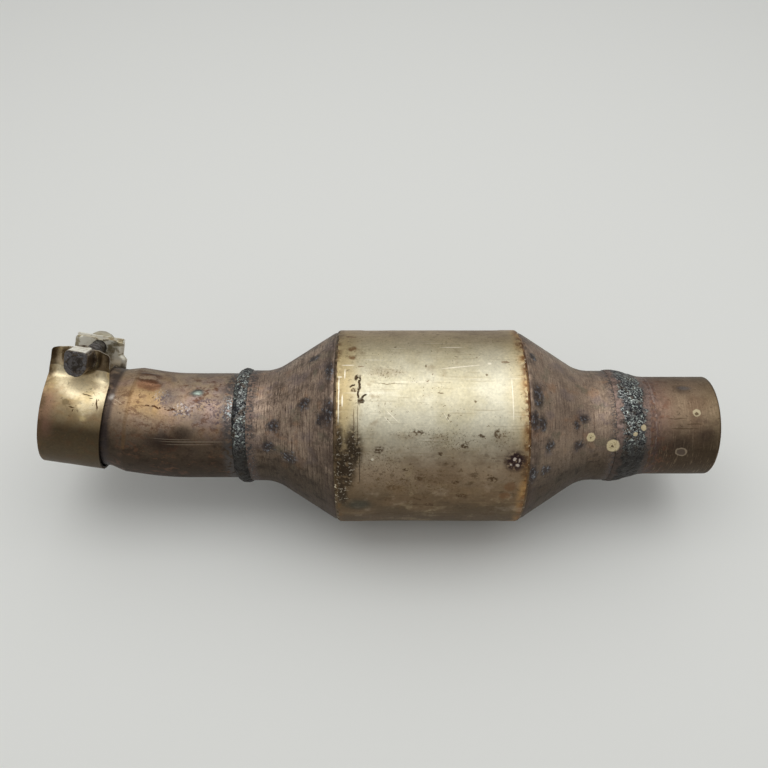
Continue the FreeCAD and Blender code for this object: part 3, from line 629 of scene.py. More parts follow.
def cone_paint(name, colour, marks, sheen, heat, neck, grit, cream=()):
    """Spun, matt brown steel with fine rings, patches and burnt spots."""
    p = Paint(name, colour, 0.5, 0.9, CONE_UNROLL, loose=(3.4, 2.6))
    rings = p.noise(0.7, 1, 4, 0.75, (1, 26, 1))
    broken = p.noise(0.62, 2, 5, 0.72, (1, 6, 1))
    cut = p.maths("MULTIPLY", p.maths("ADD", rings, broken), 0.5)
    p.coat(p.rise(cut, 0.495, 0.6), (206, 182, 160), 0.42, 0.8 * grit)
    p.coat(p.rise(cut, 0.495, 0.39), (78, 62, 52), 0.6, 0.9 * grit)
    p.raise_by(cut, 0.2)
    p.coat((16, 0.44, 0.66, 3, 6), sheen, 0.47, 0.5)
    p.coat((9, 0.46, 0.62, 4, 7, 0.68), (92, 77, 68), 0.58, 0.62 * grit)
    p.coat((11, 0.52, 0.68, 8, 5), (172, 128, 92), 0.5, 0.35)
    p.coat((10, 0.52, 0.68, 12, 6), (132, 118, 118), 0.5, 0.4)
    p.coat((8, 0.54, 0.68, 13, 6), (112, 112, 92), 0.52, 0.4)
    # Darker towards the bottom: partly dirt, partly painted shade.
    below = p.below(42, 84, -15, -60)
    p.coat(below, (66, 56, 45), 0.58, 0.87)
    p.coat([below, (5, 0.5, 0.66, 5, 6, 0.68)], (56, 47, 40), 0.62, 0.7)
    p.coat([p.beyond(*heat), (3, 0.36, 0.58, 9)], (86, 72, 64), 0.5, 0.6)
    by_weld = p.beyond(*neck)
    p.coat(by_weld, (116, 98, 92), 0.48, 0.5)
    p.coat([by_weld, (1.6, 0.46, 0.58, 14, 6)], (76, 74, 74), 0.45, 0.85, 0.1)
    p.coat([by_weld, (0.9, 0.62, 0.7, 15)], (176, 178, 170), 0.3, 0.7)
    burnt = p.where([p.spots(marks, 0.5), (1.8, 0.24, 0.46, 10)])
    p.coat(burnt, (64, 58, 58), 0.44, 0.85, -0.04)
    p.coat([burnt, (1.4, 0.54, 0.64, 16, 5)], (140, 144, 150), 0.34, 0.75)
    p.coat((1.1, 0.61, 0.71, 6, 4), (62, 50, 42), 0.6, 0.6, -0.03)
    p.mottle(1, 0.22 if cream else 0.26, 11)
    if cream:
        p.coat(p.spots(cream, 0.1, p.wobbled(1, 1.6)), (206, 190, 150), 0.7, height=0.14, metal=0)
        rings = [(x, angle, long * 0.62, wide * 0.62) for x, angle, long, wide in cream]
        p.coat([p.spots(rings, 0.2), (0.9, 0.5, 0.6)], (166, 148, 108), 0.7)
        centres = [(x, angle, long * 0.2, wide * 0.2) for x, angle, long, wide in cream]
        p.coat(p.spots(centres), (98, 80, 54), 0.7)
    return p.done()


def inlet_pipe_paint():
    """Bronze heat tint over smooth tube, with dark and grey patches."""
    p = Paint("inlet_pipe_finish", (165, 143, 120), 0.44, reference=PIPE_R, loose=(3, 4))
    # Lighter over the top: painted light.
    p.coat(p.turned_past(14, -20), (196, 174, 146), 0.44, 0.8)
    p.coat((18, 0.42, 0.62, 1, 6), (168, 138, 108), 0.44, 0.7)
    p.coat((12, 0.48, 0.66, 2, 6), (172, 146, 132), 0.42, 0.6)
    gold = [p.beyond(-337, -321), p.beyond(-298, -316)]
    p.coat([gold, p.span(-6, 30, 8)], (178, 146, 96), 0.4, 0.6)
    lilac = [p.beyond(-300, -286), (9, 0.4, 0.58, 15, 6)]
    p.coat([lilac, p.span(-20, 36, 8)], (164, 144, 138), 0.42, 0.7)
    p.coat([(13, 0.46, 0.62, 3, 6), p.beyond(-326, -306)], (122, 110, 106), 0.46, 0.55)
    # Darker towards the bottom: partly dirt, partly painted shade.
    low = p.below(34, 62, -18, -60)
    p.coat(low, (84, 71, 59), 0.54, 0.82)
    p.coat(p.below(52, 84, -30, -80), (62, 52, 43), 0.56, 0.8)
    p.coat([low, (6, 0.48, 0.66, 12, 6, 0.68)], (56, 46, 38), 0.58, 0.6)
    p.coat([(3, 0.49, 0.6, 4, 6, 0.68, (1.6, 1, 1)), (14, 0.4, 0.56, 5)],
           (112, 82, 64), 0.52, 0.65, -0.03)
    blotches = p.spots([(-279, -8, 12, 10), (-284, 10, 8, 6), (-290, -12, 8, 5)], 0.6, p.run)
    p.coat([blotches, (2.6, 0.52, 0.62, 16, 6, 0.55, (1.5, 1, 1))], (112, 78, 58), 0.5, 0.8, -0.05)
    specks = p.spots([(-294, 22, 7, 4.4), (-280, 16, 8, 4), (-308, 10, 6, 3.4),
                      (-272, 30, 6, 6)], 0.6)
    p.coat([(1.3, 0.5, 0.58, 6, 5), specks], (104, 90, 90), 0.4, height=0.03)
    p.coat([(1.1, 0.55, 0.62, 17, 4), p.spots([(-294, 21, 6, 4), (-309, 5, 5, 3.5)], 0.6)],
           (190, 182, 178), 0.35, 0.8)
    for spots, edge, colour, rough, share in (
        ([(-304, 56, 11, 5.4), (-295, 47, 7, 4.4)], 0.7, (48, 39, 36), 0.52, 0.7),
        ([(-319.6, -5.4, 7.2, 4)], 0.3, (150, 104, 76), 0.38, 0.7),
        ([(-320.2, -11.6, 7.2, 1.3, 4)], 0.5, (92, 62, 46), 0.42, 0.85),
        ([(-321.6, -24, 6.5, 1.8)], 0.5, (86, 60, 48), 0.42, 0.75),
        ([(-287, 1.4, 3.6, 2.2)], 0.5, (104, 106, 100), 0.4, 1),
        ([(-286.6, 2, 2, 1)], 0.6, (168, 180, 168), 0.35, 1),
        ([(-304, 4, 6, 4)], 0.8, (118, 110, 106), 0.42, 0.5),
    ):
        p.coat(p.spots(spots, edge), colour, rough, share)
    p.coat([p.spots([(-312, 20, 8, 0.5), (-302, 20.5, 4, 1)]), (1.6, 0.42, 0.5, 8)],
           (92, 62, 40), 0.5, height=-0.08)
    scratches = p.spots([(-287, 54.9, 20, 0.22), (-300, 52.5, 12, 0.15), (-290, 58, 14, 0.15),
                         (-334, 18, 3.6, 0.25, 30), (-335.5, 21, 2.6, 0.2, 30)], over=p.run)
    p.coat(scratches, (196, 180, 156), 0.35, 0.45)
    p.coat(p.seam(-327.4, 1, -40, 70, 2.4, 14, 4), (124, 94, 60), 0.48, 0.4)
    # A painted shadow on the tube beside the clamp band, with a painted sparkle in it.
    p.coat([p.beyond(-334, -337.5), (7, 0.25, 0.55, 9)], (62, 56, 56), 0.42, 0.85)
    p.coat(p.spots([(-337.8, 14, 1.3, 1.6)], 0.8), (186, 180, 172), 0.3, 0.55)
    p.coat([p.beyond(-274, -269), (2, 0.38, 0.52, 13, 6)], (88, 84, 82), 0.45, 0.85, 0.1)
    # Painted glints on the crust by the weld, only over the lit side.
    p.coat([[p.beyond(-274, -268), p.span(8, 32, 6)], (1, 0.5, 0.6, 18)], (176, 184, 184), 0.3)
    p.coat((1.6, 0.61, 0.71, 10, 4), (76, 58, 46), 0.55, 0.6, -0.04)
    p.raise_by(p.noise(5, 11), 0.05)
    p.mottle(1.2, 0.2, 14)
    return p.done()


def outlet_pipe_paint():
    """Dark brown heat tint, burnt orange by the weld, with mineral rings."""
    p = Paint("outlet_pipe_finish", (142, 122, 100), 0.46, reference=OUTLET_R, loose=(1.4, 2.4))
    # Slightly lighter over the top: painted light.
    p.coat(p.turned_past(10, -24), (147, 126, 105), 0.46, 0.8)
    p.coat((14, 0.45, 0.64, 1, 6), (126, 104, 84), 0.48, 0.8)
    p.coat(p.beyond(-20, -34), (144, 116, 104), 0.44, 0.6)
    p.coat(p.beyond(-14, -2), (122, 108, 80), 0.44, 0.4)
    p.coat((6, 0.52, 0.68, 2, 6), (104, 84, 70), 0.5, 0.5)
    # Darker towards the bottom: partly dirt, partly painted shade.
    p.coat(p.below(36, 70, -16, -54), (64, 53, 42), 0.54, 0.82)
    rings = p.noise(1, 3, 3, 0.55, (0.8, 30, 1))
    p.roughen(rings, 0.12)
    p.raise_by(rings, 0.02)
    p.coat((0.8, 0.56, 0.68, 9, 3, 0.55, (0.7, 10, 1)), (172, 150, 124), 0.42, 0.3)
    p.coat([p.beyond(-22, -33), (3, 0.5, 0.64, 4, 5)], (128, 90, 70), 0.55, 0.5, 0.02)
    p.coat([p.beyond(-31, -35.5), (2.2, 0.44, 0.6, 7)], (92, 76, 78), 0.45, 0.5, 0.04)
    p.coat(p.spots([(-18, -8, 4, 3), (-8, 50, 5, 4), (-22, 60, 6, 4)], 0.7), (66, 54, 48),
           0.45, 0.5)
    p.coat(p.spots([(-17, -10, 3.2, 1.6)], 0.7), (120, 118, 118), 0.4, 0.5)
    p.coat(p.spots([(-20, 41, 7, 0.4), (-24, 30, 5, 0.3), (-15, 36, 4, 0.4)]), (84, 66, 50),
           0.5, 0.6)
    p.mottle(1.1, 0.2, 8)
    p.coat(p.spots([(-13, 23.5, 2.2, 2)], 0.15), (204, 188, 152), 0.7, height=0.1, metal=0)
    p.coat(p.spots([(-13.2, 24.5, 1.1, 0.9)]), (112, 92, 62), 0.7)
    p.coat(p.spots([(-20.7, 69, 3.4, 2.6, 18)], 0.1), (142, 126, 104), 0.7, metal=0.2)
    p.coat(p.spots([(-20.7, 69, 2.6, 1.8, 18)], 0.15), (84, 68, 54), 0.6)
    p.coat((1.2, 0.62, 0.72, 5, 4), (62, 48, 38), 0.6, 0.6, -0.04)
    p.coat(p.beyond(-1.3, -0.5), (92, 76, 58), 0.4)
    return p.done()


def weld_paint(name, core, fade, edge_colour, cream=()):
    """Grey crusted weld with painted glints over its lit top, fading into the steel at its edges.
    """
    p = Paint(name, (112, 112, 110), 0.44, reference=WELD_UNROLL)
    p.coat((4, 0.4, 0.6, 1, 6), (80, 80, 82), 0.42)
    p.coat((6, 0.5, 0.64, 2, 5), (112, 98, 84), 0.5, 0.7)
    far = p.maths("ABSOLUTE", p.maths("SUBTRACT", p.along, core))
    far = p.maths("ADD", far, p.swing(fade * 1.8, 4.5, 6, 6, 0.65))
    outside = p.rise(far, fade * 0.85, fade * 1.25)
    inside = p.outside(outside)
    # Painted glints: bright specks placed only over the lit top of the bead.
    top = p.where([p.span(-36, 62, 20), inside])
    p.coat([(1.1, 0.49, 0.42, 8, 5), inside], (40, 40, 44), 0.5, 0.9, -0.12)
    p.coat([[(1.2, 0.53, 0.61, 9, 5), top], (6, 0.36, 0.56, 4)], (206, 216, 208), 0.28)
    p.coat([p.grains(1.2, 0.16, 0.3, 1), top], (204, 210, 206), 0.24, 0.7)
    p.coat(outside, edge_colour, 0.5, 0.9)
    p.coat([outside, (1.6, 0.5, 0.62, 10, 6)], (88, 80, 74), 0.5, 0.6, 0.05)
    p.coat([outside, (0.9, 0.62, 0.7, 11)], (186, 180, 168), 0.3, 0.5)
    # Darker towards the bottom: partly dirt, partly painted shade.
    p.coat(p.below(44, 72, -24, -60), (54, 50, 46), 0.55, 0.78)
    p.raise_by(p.where([p.noise(1.4, 5, 5, 0.7), inside]), 0.34)
    p.mottle(1, 0.2, 7)
    if cream:
        p.coat(p.spots(cream, 0.15, p.wobbled(0.7, 1.6)), (206, 190, 152), 0.7,
               height=0.1, metal=0)
    return p.done()


def seam_paint(name, colour, edge):
    """The lumpy strip where the can and a cone are joined."""
    p = Paint(name, colour, 0.48, reference=CAN_R)
    p.coat((5, 0.42, 0.58, 1), edge, 0.52)
    # Darker towards the bottom: partly dirt, partly painted shade.
    p.coat(p.below(30, 70, -20, -60), (96, 80, 58), 0.55, 0.7)
    p.coat((2.4, 0.58, 0.68, 2), (66, 52, 40), 0.6, height=-0.08)
    # Painted glints on the lumps.
    p.coat([p.grains(2, 0.15, 0.32, 4), (9, 0.44, 0.6, 3)], (226, 212, 184), 0.25)
    p.raise_by(p.noise(1.8, 6), 0.3)
    return p.done()


def band_paint():
    """Shiny straw-gold stainless band, darker and olive below with tarnish and painted shade, with
    painted highlights.
    """
    p = Paint("band_finish", (240, 224, 186), 0.31, 0.9, BAND_UNROLL, sooty=False, loose=(1.2, 2))
    p.coat((12, 0.45, 0.65, 1), (222, 200, 152), 0.34, 0.8)
    # Painted shade below a slanted line, which leaves a pointed bright highlight above it.
    wide = p.maths("ADD", p.maths("ABSOLUTE", p.maths("SUBTRACT", p.along, -6.5)),
                   p.maths("MULTIPLY", p.noise(5, 7, 5), 7))
    painted_shade_line = p.maths("ADD", p.around, p.maths("MULTIPLY", wide, 0.95))
    p.coat(p.rise(painted_shade_line, 38, 50), (136, 114, 82), 0.4, 0.85)
    low = p.where([p.rise(p.around, 41, 50), p.rise(p.around, 168, 150)])
    p.coat((6, 0.5, 0.66, 2, 6), (156, 124, 88), 0.4, 0.4)
    p.coat((4, 0.52, 0.66, 9, 6, 0.55, (2, 1, 1)), (176, 152, 104), 0.36, 0.4)
    # Darker towards the bottom: partly tarnish, partly painted shade.
    p.coat(low, (66, 55, 40), 0.46, 0.86)
    p.coat([low, (5, 0.48, 0.66, 11, 6)], (94, 70, 48), 0.44, 0.4)
    p.coat([p.beyond(6, 13), [p.rise(p.around, 28, 34), p.rise(p.around, 60, 46)]],
           (150, 112, 94), 0.4, 0.6)
    p.coat([p.beyond(12, 15.6), (5, 0.38, 0.6, 3)], (104, 84, 60), 0.46, 0.8)
    p.coat((1.6, 0.6, 0.7, 4, 4), (104, 84, 58), 0.5, 0.6, -0.03)
    p.coat(p.spots([(0, 70, 1.4, 0.35), (-6.5, 55, 2.4, 0.25, -6), (-1, 73, 0.3, 0.9),
                    (-12.6, 64, 0.35, 3.2, 12), (-9, 58, 0.9, 0.2)]), (98, 74, 46), 0.5,
           height=-0.1)
    p.coat(p.spots([(3.4, 65.7, 1.9, 1.7)]), (124, 106, 76), 0.42, 0.8)
    # A painted sparkle, then a pale, half-matt patch that is a painted highlight.
    p.coat(p.spots([(-6.8, 80, 1.6, 1.1)], 0.8), (250, 226, 168), 0.3, 0.5)
    p.coat(p.spots([(-1, 42.5, 6.5, 4.2)], 0.8), (242, 224, 182), 0.55, 0.8, metal=0.25)
    streaks = p.noise(1, 5, 3, 0.55, (0.4, 24, 1))
    p.roughen(streaks, 0.12)
    p.raise_by(streaks, 0.01)
    # The near ear face is darker: partly tarnish, partly painted shade.
    p.coat([p.rise(p.around, 14, 9), (5, 0.42, 0.62, 6, 5)], (136, 116, 90), 0.38, 0.8)
    # Painted shade on the near ear's curled sides.
    sides = p.either(p.beyond(10, 14), p.beyond(-7, -10))
    p.coat([p.rise(p.around, 16, 10), sides], (96, 78, 56), 0.42, 0.8)
    p.coat(p.spots([(10.6, 14, 2.2, 2)], 0.6), (214, 192, 160), 0.3, 0.6)
    p.mottle(1.2, 0.16, 8)
    p.coat([p.inner, [p.rise(p.around, 15, 22), p.rise(p.around, 173, 166)]],
           (66, 54, 42), 0.6, 0.8)
    # The far ear's inner face is a painted highlight, with painted golden reflections in patches.
    far_inner_highlight = p.where([p.inner, p.rise(p.around, 166, 173)])
    p.coat(far_inner_highlight, (230, 226, 210), 0.3, metal=0.5)
    p.coat([far_inner_highlight, (4, 0.46, 0.6, 10, 6)], (150, 134, 96), 0.3, 0.8, metal=0.9)
    return p.done()


def nut_paint():
    """Dark, grainy nut with a painted highlight on its top and brown flanks."""
    p = Paint("nut_finish", (112, 108, 106), 0.4, reference=NUT_HALF, solid=True, sooty=False)
    face = p.beyond(NUT_STOP - 0.9, NUT_STOP - 0.2)
    p.coat((2.4, 0.44, 0.6, 1), (90, 80, 68), 0.46)
    p.coat(p.outside(face), (150, 132, 108), 0.38, 0.6)
    p.coat((1, 0.52, 0.62, 2, 4), (58, 56, 60), 0.5, 0.75, -0.12)
    # A painted highlight over the top face, broken up by patches.
    worn = p.where([p.span(-36, 36, 3), p.beyond(NUT_STOP - 0.3, NUT_STOP - 1)])
    p.coat(worn, (252, 247, 230), 0.3, 0.95, metal=0.1)
    p.coat([worn, (2.6, 0.52, 0.64, 5, 5)], (176, 156, 128), share=0.5)
    p.coat([face, (0.8, 0.58, 0.66, 3, 4)], (150, 150, 156), 0.3, 0.6)
    p.raise_by(p.noise(1, 4, 4, 0.65), 0.16)
    return p.done()


def plain_metal(name, colour, other, roughness, metallic=1, scale=3, crust=0.1, skin=True):
    """A worn metal with two mottled colours and a crust of some height."""
    p = Paint(name, colour, roughness, metallic, skin=skin)
    p.coat((scale, 0.44, 0.6, 1), other, min(1, roughness + 0.12))
    p.coat((scale / 3, 0.6, 0.7, 2), tuple(v * 0.66 for v in other), min(1, roughness + 0.2))
    p.raise_by(p.noise(scale / 2, 3, 4, 0.65), crust)
    return p.done()


# Round pieces.

def bow(start, stop, rise, count=10):
    """A shallow arc over a chord, as profile points."""
    (x0, r0), (x1, r1) = start, stop
    length = math.hypot(x1 - x0, r1 - r0)
    nx, nr = -(r1 - r0) / length, (x1 - x0) / length
    if nr < 0:
        nx, nr = -nx, -nr
    share = [k / count for k in range(count + 1)]
    return [
        (x0 + (x1 - x0) * s + nx * rise * 4 * s * (1 - s),
         r0 + (r1 - r0) * s + nr * rise * 4 * s * (1 - s))
        for s in share
    ]


def taper(start, stop, rise, count=14):
    """A swollen slope that dies away level at its end, as profile points."""
    share = [k / count for k in range(count + 1)]
    return [
        (start[0] + (stop[0] - start[0]) * s,
         stop[1] + (start[1] - stop[1]) * (1 - s) ** 2 * (1 + 2 * s)
         + rise * 6.75 * s * (1 - s) ** 2)
        for s in share
    ]


def lowered(profile, depth):
    """The same profile at a smaller radius."""
    return [(x, r - depth) for x, r in profile]


def crusts(rest, along, angle, places, grain, height, seed):
    """Raise crusts of small lumps at several places."""
    lumps = np.clip(layered(rest, grain, seed) * 1.6 + 0.35, 0, 1)
    reach = sum(bump_at(along, angle, *place) for place in places)
    return np.clip(reach, 0, 1) * lumps * height


def can_relief(rest, along, angle):
    """Slight waves, raised end bands, and crusts of spatter."""
    middle = ease_step(along, -197.6, -194.6) * (1 - ease_step(along, -119.6, -117.0))
    waves = 0.1 * layered(rest, 34, 3) + 0.03 * layered(rest, 9, 8)
    dents = 0.3 * bump_at(along, angle, -196.8, 18, 3.0, 7.0, 30)
    dents = dents + 0.25 * bump_at(along, angle, -199.1, -7, 1.6, 5.5)
    edge = 0.35 * np.clip(layered(rest, 3.2, 21) - 0.2, 0, 1)
    edge = edge * (1 - ease_step(along, -208.6, -206.4))
    crust = crusts(rest, along, angle, [(-200.8, 50, 4.5, 8), (-201.5, 60, 2.5, 6)], 2.2, 0.55, 31)
    crust = crust + crusts(rest, along, angle, [(-116.4, 56.5, 4.5, 4.6)], 1.9, 0.75, 37)
    crust = crust * (along > CAN_START + 0.8) * (along < CAN_END - 0.3)
    return -0.14 - 0.18 * middle + np.clip(waves, -0.13, 0.13) - dents - edge + crust


def cone_relief(seed, bumps):
    """Spinning rings and slight waves, with lumps of spatter."""
    def relief(rest, along, angle):
        rings = np.stack([along, angle * 0.02, np.full_like(along, seed)], -1)
        fine = 0.05 * layered(rings, 1.7, seed) + 0.08 * layered(rest, 26, seed + 4)
        return fine - 0.05 + crusts(rest, along, angle, bumps, 1.6, 0.55, seed + 9)
    return relief


def pipe_relief(rest, along, angle):
    """An oval dent and a ridge near the clamp, and slight waves."""
    waves = 0.07 * layered(rest, 22, 5) + 0.02 * layered(rest, 5, 6)
    dent = 0.75 * bump_at(along, angle, -319.6, -5.4, 6.4, 8.0)
    rim = 0.25 * bump_at(along, angle, -319.6, -5.4, 9.0, 12.0)
    ridge = 0.5 * bump_at(along, angle, -321.4, -24, 6.0, 3.6, 12)
    lump = 0.3 * bump_at(along, angle, -287, 1.3, 2.8, 4.4)
    step = 0.22 * ease_step(-along, 327.2, 328.4) * (1 - ease_step(-along, 329.5, 334))
    return waves - dent + rim + ridge + lump - step - 0.08


def outlet_relief(rest, along, angle):
    """Slight waves and turning marks."""
    rings = np.stack([along, angle * 0.03, np.zeros_like(along)], -1)
    return 0.05 * layered(rest, 18, 15) + 0.02 * layered(rings, 1.4, 17) - 0.05


def weld_relief(seed, ripple, lump, grain=2.6, smooth_from=99.0):
    """Crusted, lumpy bead with the ripples of its passes, calm past a place."""
    def relief(rest, along, angle):
        calm = 1 - 0.85 * ease_step(along, smooth_from - 3.0, smooth_from + 2.0)
        rough = layered(rest, grain, seed, 4) * lump
        swell = layered(rest, grain * 3.4, seed + 7, 2) * lump * 0.7
        turns = np.sin(np.radians(angle) * ripple + 2.0 * layered(rest, 9, seed + 3))
        return calm * (rough + swell + 0.1 * turns)
    return relief


def cone(end, edge, way, corner, rim, neck, paint, relief):
    """Turn a spun cone: skirt, rounded shoulder, slope, throat and neck."""
    skirt, tip = (edge - way * SKIRT_INSERT, SKIRT_R), (rim, neck)
    bend, throat = (edge + way * SHOULDER, SKIRT_R), (corner, neck)
    profile = [skirt] + fillet(bend, skirt, throat, SHOULDER_R)
    profile += fillet(throat, bend, tip, THROAT_R)
    profile += [(rim - way * 0.3, neck), (rim, neck - 0.3)]
    turned(f"cone_{end}", profile, lowered(profile, SHEET), can_axis, paint,
           [f"{end}_cone"], step=0.8, segments=400, reference=CONE_UNROLL, relief=relief)


def bead(name, back, foot, edge, paint, node, relief, reference):
    """Lay a weld over an edge: a rounded back over a foot with a step in it."""
    start, stop = back[0][0], back[-1][0]
    under = [(start, foot[0]), (edge, foot[0]), (edge, foot[1]), (stop, foot[1])]
    turned(name, back, under, can_axis, paint, [node], step=0.35, segments=560,
           reference=reference, relief=relief, crease=80)


turned("can", [(CAN_START, CAN_R - 0.5), (CAN_START + 0.4, CAN_R),
               (CAN_END - 0.4, CAN_R), (CAN_END, CAN_R - 0.5)],
       [(CAN_START, CAN_R - SHEET), (CAN_END, CAN_R - SHEET)], can_axis, can_paint(),
       ["can_shell"], step=1.0, segments=480, reference=CAN_R, relief=can_relief)

INLET_CONE_MARKS = [
    (-212.8, 4, 3, 4.4), (-212.6, 29, 3.6, 4.8), (-244, 38, 3.6, 4),
    (-246.6, 58.5, 3.6, 3.6), (-217, 34, 2.4, 2.6), (-235, 63, 4.2, 3.4),
    (-226, 22, 3.4, 3), (-222, -14, 3, 2),
]
OUTLET_CONE_MARKS = [
    (-103.5, 20, 2.8, 5), (-107, 35, 3.6, 4), (-101.8, 36, 2.6, 3.2),
    (-97.3, 50.5, 2.8, 3.2), (-76.2, 31.5, 3.4, 2.8), (-80.6, 37, 2.2, 2.6),
    (-79.7, 55, 3.2, 3), (-106.5, 66, 3, 3.4), (-98.7, 66.5, 2.8, 2.2), (-104, -8, 1.4, 2.4),
]
CREAM_ON_CONE = [(-72.2, 49, 2.5, 3.1), (-59.8, 58, 3.5, 4.4)]
CREAM_ON_WELD = [(-42.8, 40, 1.5, 1.9), (-47.6, 46.5, 1.4, 1.2), (-59.8, 58, 3.5, 3.7)]

cone("inlet", CAN_START, -1, INLET_CORNER, INLET_RIM, INLET_NECK_R,
     cone_paint("inlet_cone_finish", (168, 147, 128), INLET_CONE_MARKS, (132, 114, 100),
                (-218, -213), (-252, -257), 1.0),
     cone_relief(41, [(-212, 6, 1.6, 4), (-211, 29, 1.6, 6)]))
cone("outlet", CAN_END, 1, OUTLET_CORNER, OUTLET_RIM, OUTLET_NECK_R,
     cone_paint("outlet_cone_finish", (166, 145, 126), OUTLET_CONE_MARKS, (172, 150, 128),
                (-101, -106), (-64, -57), 0.55, CREAM_ON_CONE),
     cone_relief(57, [(-108, 35, 1.5, 3), (-106, 66, 2.2, 3.4)]))

# The swage is drawn softer than in the source, so it starts nearer the can.

SWAGE_LEAD, SWAGE_REACH = 2.5, 9.0
SWAGE_START = PIPE_END + SWAGED + SWAGE_RUN + SWAGE_LEAD
swage = [
    (SWAGE_START - SWAGE_REACH * share,
     PIPE_R - (PIPE_R - SWAGED_R) * share ** 2 * (3 - 2 * share))
    for share in np.linspace(0, 1, 13)
]
inlet_pipe = [(PIPE_START, PIPE_R)] + swage
turned("pipe_inlet", inlet_pipe + [(PIPE_END + 0.3, SWAGED_R), (PIPE_END, SWAGED_R - 0.3)],
       lowered(inlet_pipe + [(PIPE_END, SWAGED_R)], SHEET), inlet_axis, inlet_pipe_paint(),
       ["inlet_pipe"], step=0.8, segments=400, reference=PIPE_R,
       relief=pipe_relief)
outlet_pipe = [(OUTLET_RIM - PIPE_INSERT, SWELL_R), (OUTLET_RIM + SWELL_LAND, SWELL_R),
               (-OUTLET_STUB, OUTLET_R)]
turned("pipe_outlet", outlet_pipe + [(-0.4, OUTLET_R), (0.0, OUTLET_R - 0.4)],
       lowered(outlet_pipe + [(0.0, OUTLET_R)], SHEET), can_axis, outlet_pipe_paint(),
       ["outlet_pipe"], step=0.8, segments=400, reference=OUTLET_R,
       relief=outlet_relief)

bead("weld_inlet_pipe", bow((INLET_RIM + 2.0, INLET_NECK_R), (INLET_RIM - 6.0, PIPE_R), 2.0),
     (INLET_NECK_R - 0.5, PIPE_R - 0.5), INLET_RIM - 0.1,
     weld_paint("inlet_weld_finish", INLET_RIM - 1.8, 4.6, (112, 98, 88)),
     "inlet_pipe_weld", weld_relief(71, 46, 0.42), WELD_UNROLL)
bead("weld_outlet_pipe", taper((OUTLET_RIM - 2.0, OUTLET_NECK_R), (-OUTLET_STUB, OUTLET_R), 0.9),
     (OUTLET_NECK_R - 0.5, OUTLET_R - 0.6), OUTLET_RIM + 0.1,
     weld_paint("outlet_weld_finish", OUTLET_RIM + 8.0, 6.6, (150, 128, 117),
                CREAM_ON_WELD), "outlet_pipe_weld",
     weld_relief(83, 40, 0.3, 3.2, -42.0), WELD_UNROLL)
for end, edge, way, colours, seed in (
    ("inlet", CAN_START, 1, ((132, 112, 88), (98, 82, 64)), 91),
    ("outlet", CAN_END, -1, ((156, 122, 86), (112, 80, 56)), 97),
):
    back = bow((edge + way * 0.7, CAN_R - 0.35), (edge - way * 1.25, SKIRT_R), 0.5)
    bead(f"seam_{end}", back, (CAN_R - 0.8, SKIRT_R - 0.5), edge - way * 0.05,
         seam_paint(f"{end}_seam_finish", *colours), f"can_{end}_weld",
         weld_relief(seed, 60, 0.16, 2.0), CAN_R)


# The clamp.

HOLE_R = BOLT_R + 0.4
BAND_COLUMNS = 65
CURL_REACH = 3.4
EAR_FOOT = 27.5
HEAD_STOP = -FAR_SEAT - FLANGE_T
HEAD_START = HEAD_STOP - HEAD_HEIGHT
THREAD_START, THREAD_PITCH = -9.0, 1.25


def strip_edge(depth, narrow, straight, taper_run, corner):
    """How far a strip's edge is from its middle, at a depth below its end."""
    wide = BAND_WIDTH / 2
    half = narrow + (wide - narrow) * np.clip((depth - straight) / taper_run, 0, 1)
    missing = np.clip(corner - depth, 0, corner)
    return half - (corner - np.sqrt(corner ** 2 - missing ** 2))


def strip_places(depth, far):
    """Lay out the strip's width: the ear by the nut is wide, the other narrow."""
    near_left = strip_edge(depth, EAR_WIDTH / 2, 6.5, 12.0, 2.5)
    near_right = strip_edge(depth, EAR_WIDTH / 2, 6.5, 12.0, 3.2)
    far_both = strip_edge(depth, FAR_EAR_WIDTH / 2, 8.0, 2.5, 2.0)
    left = np.where(far, far_both, near_left)
    right = np.where(far, far_both, near_right)
    return left[:, None], right[:, None]


def band_line(step=0.55):
    """The band's middle line with its outward normals, ear to ear."""
    root_y = EAR_Y + ROOT_R
    root_z = math.sqrt((BAND_MID_R + ROOT_R) ** 2 - root_y ** 2)
    lean = math.degrees(math.atan2(root_y, root_z))
    side = [((EAR_Y, z), (1.0, 0.0)) for z in np.arange(EAR_TOP, root_z, -step)]
    for turn in np.radians(np.linspace(180, 270 - lean, 9)):
        c, s = math.cos(turn), math.sin(turn)
        side.append(((root_y + ROOT_R * c, root_z + ROOT_R * s), (-c, -s)))
    arc = math.radians(360 - 2 * lean)
    count = int(arc * BAND_MID_R / step)
    turns = [math.radians(lean) + arc * k / count for k in range(1, count)]
    outward = [(math.sin(turn), math.cos(turn)) for turn in turns]
    middle = [((BAND_MID_R * y, BAND_MID_R * z), (y, z)) for y, z in outward]
    mirror = [((-y, z), (-ny, nz)) for (y, z), (ny, nz) in reversed(side)]
    line = np.array(side + middle + mirror)
    return line[:, 0], line[:, 1]


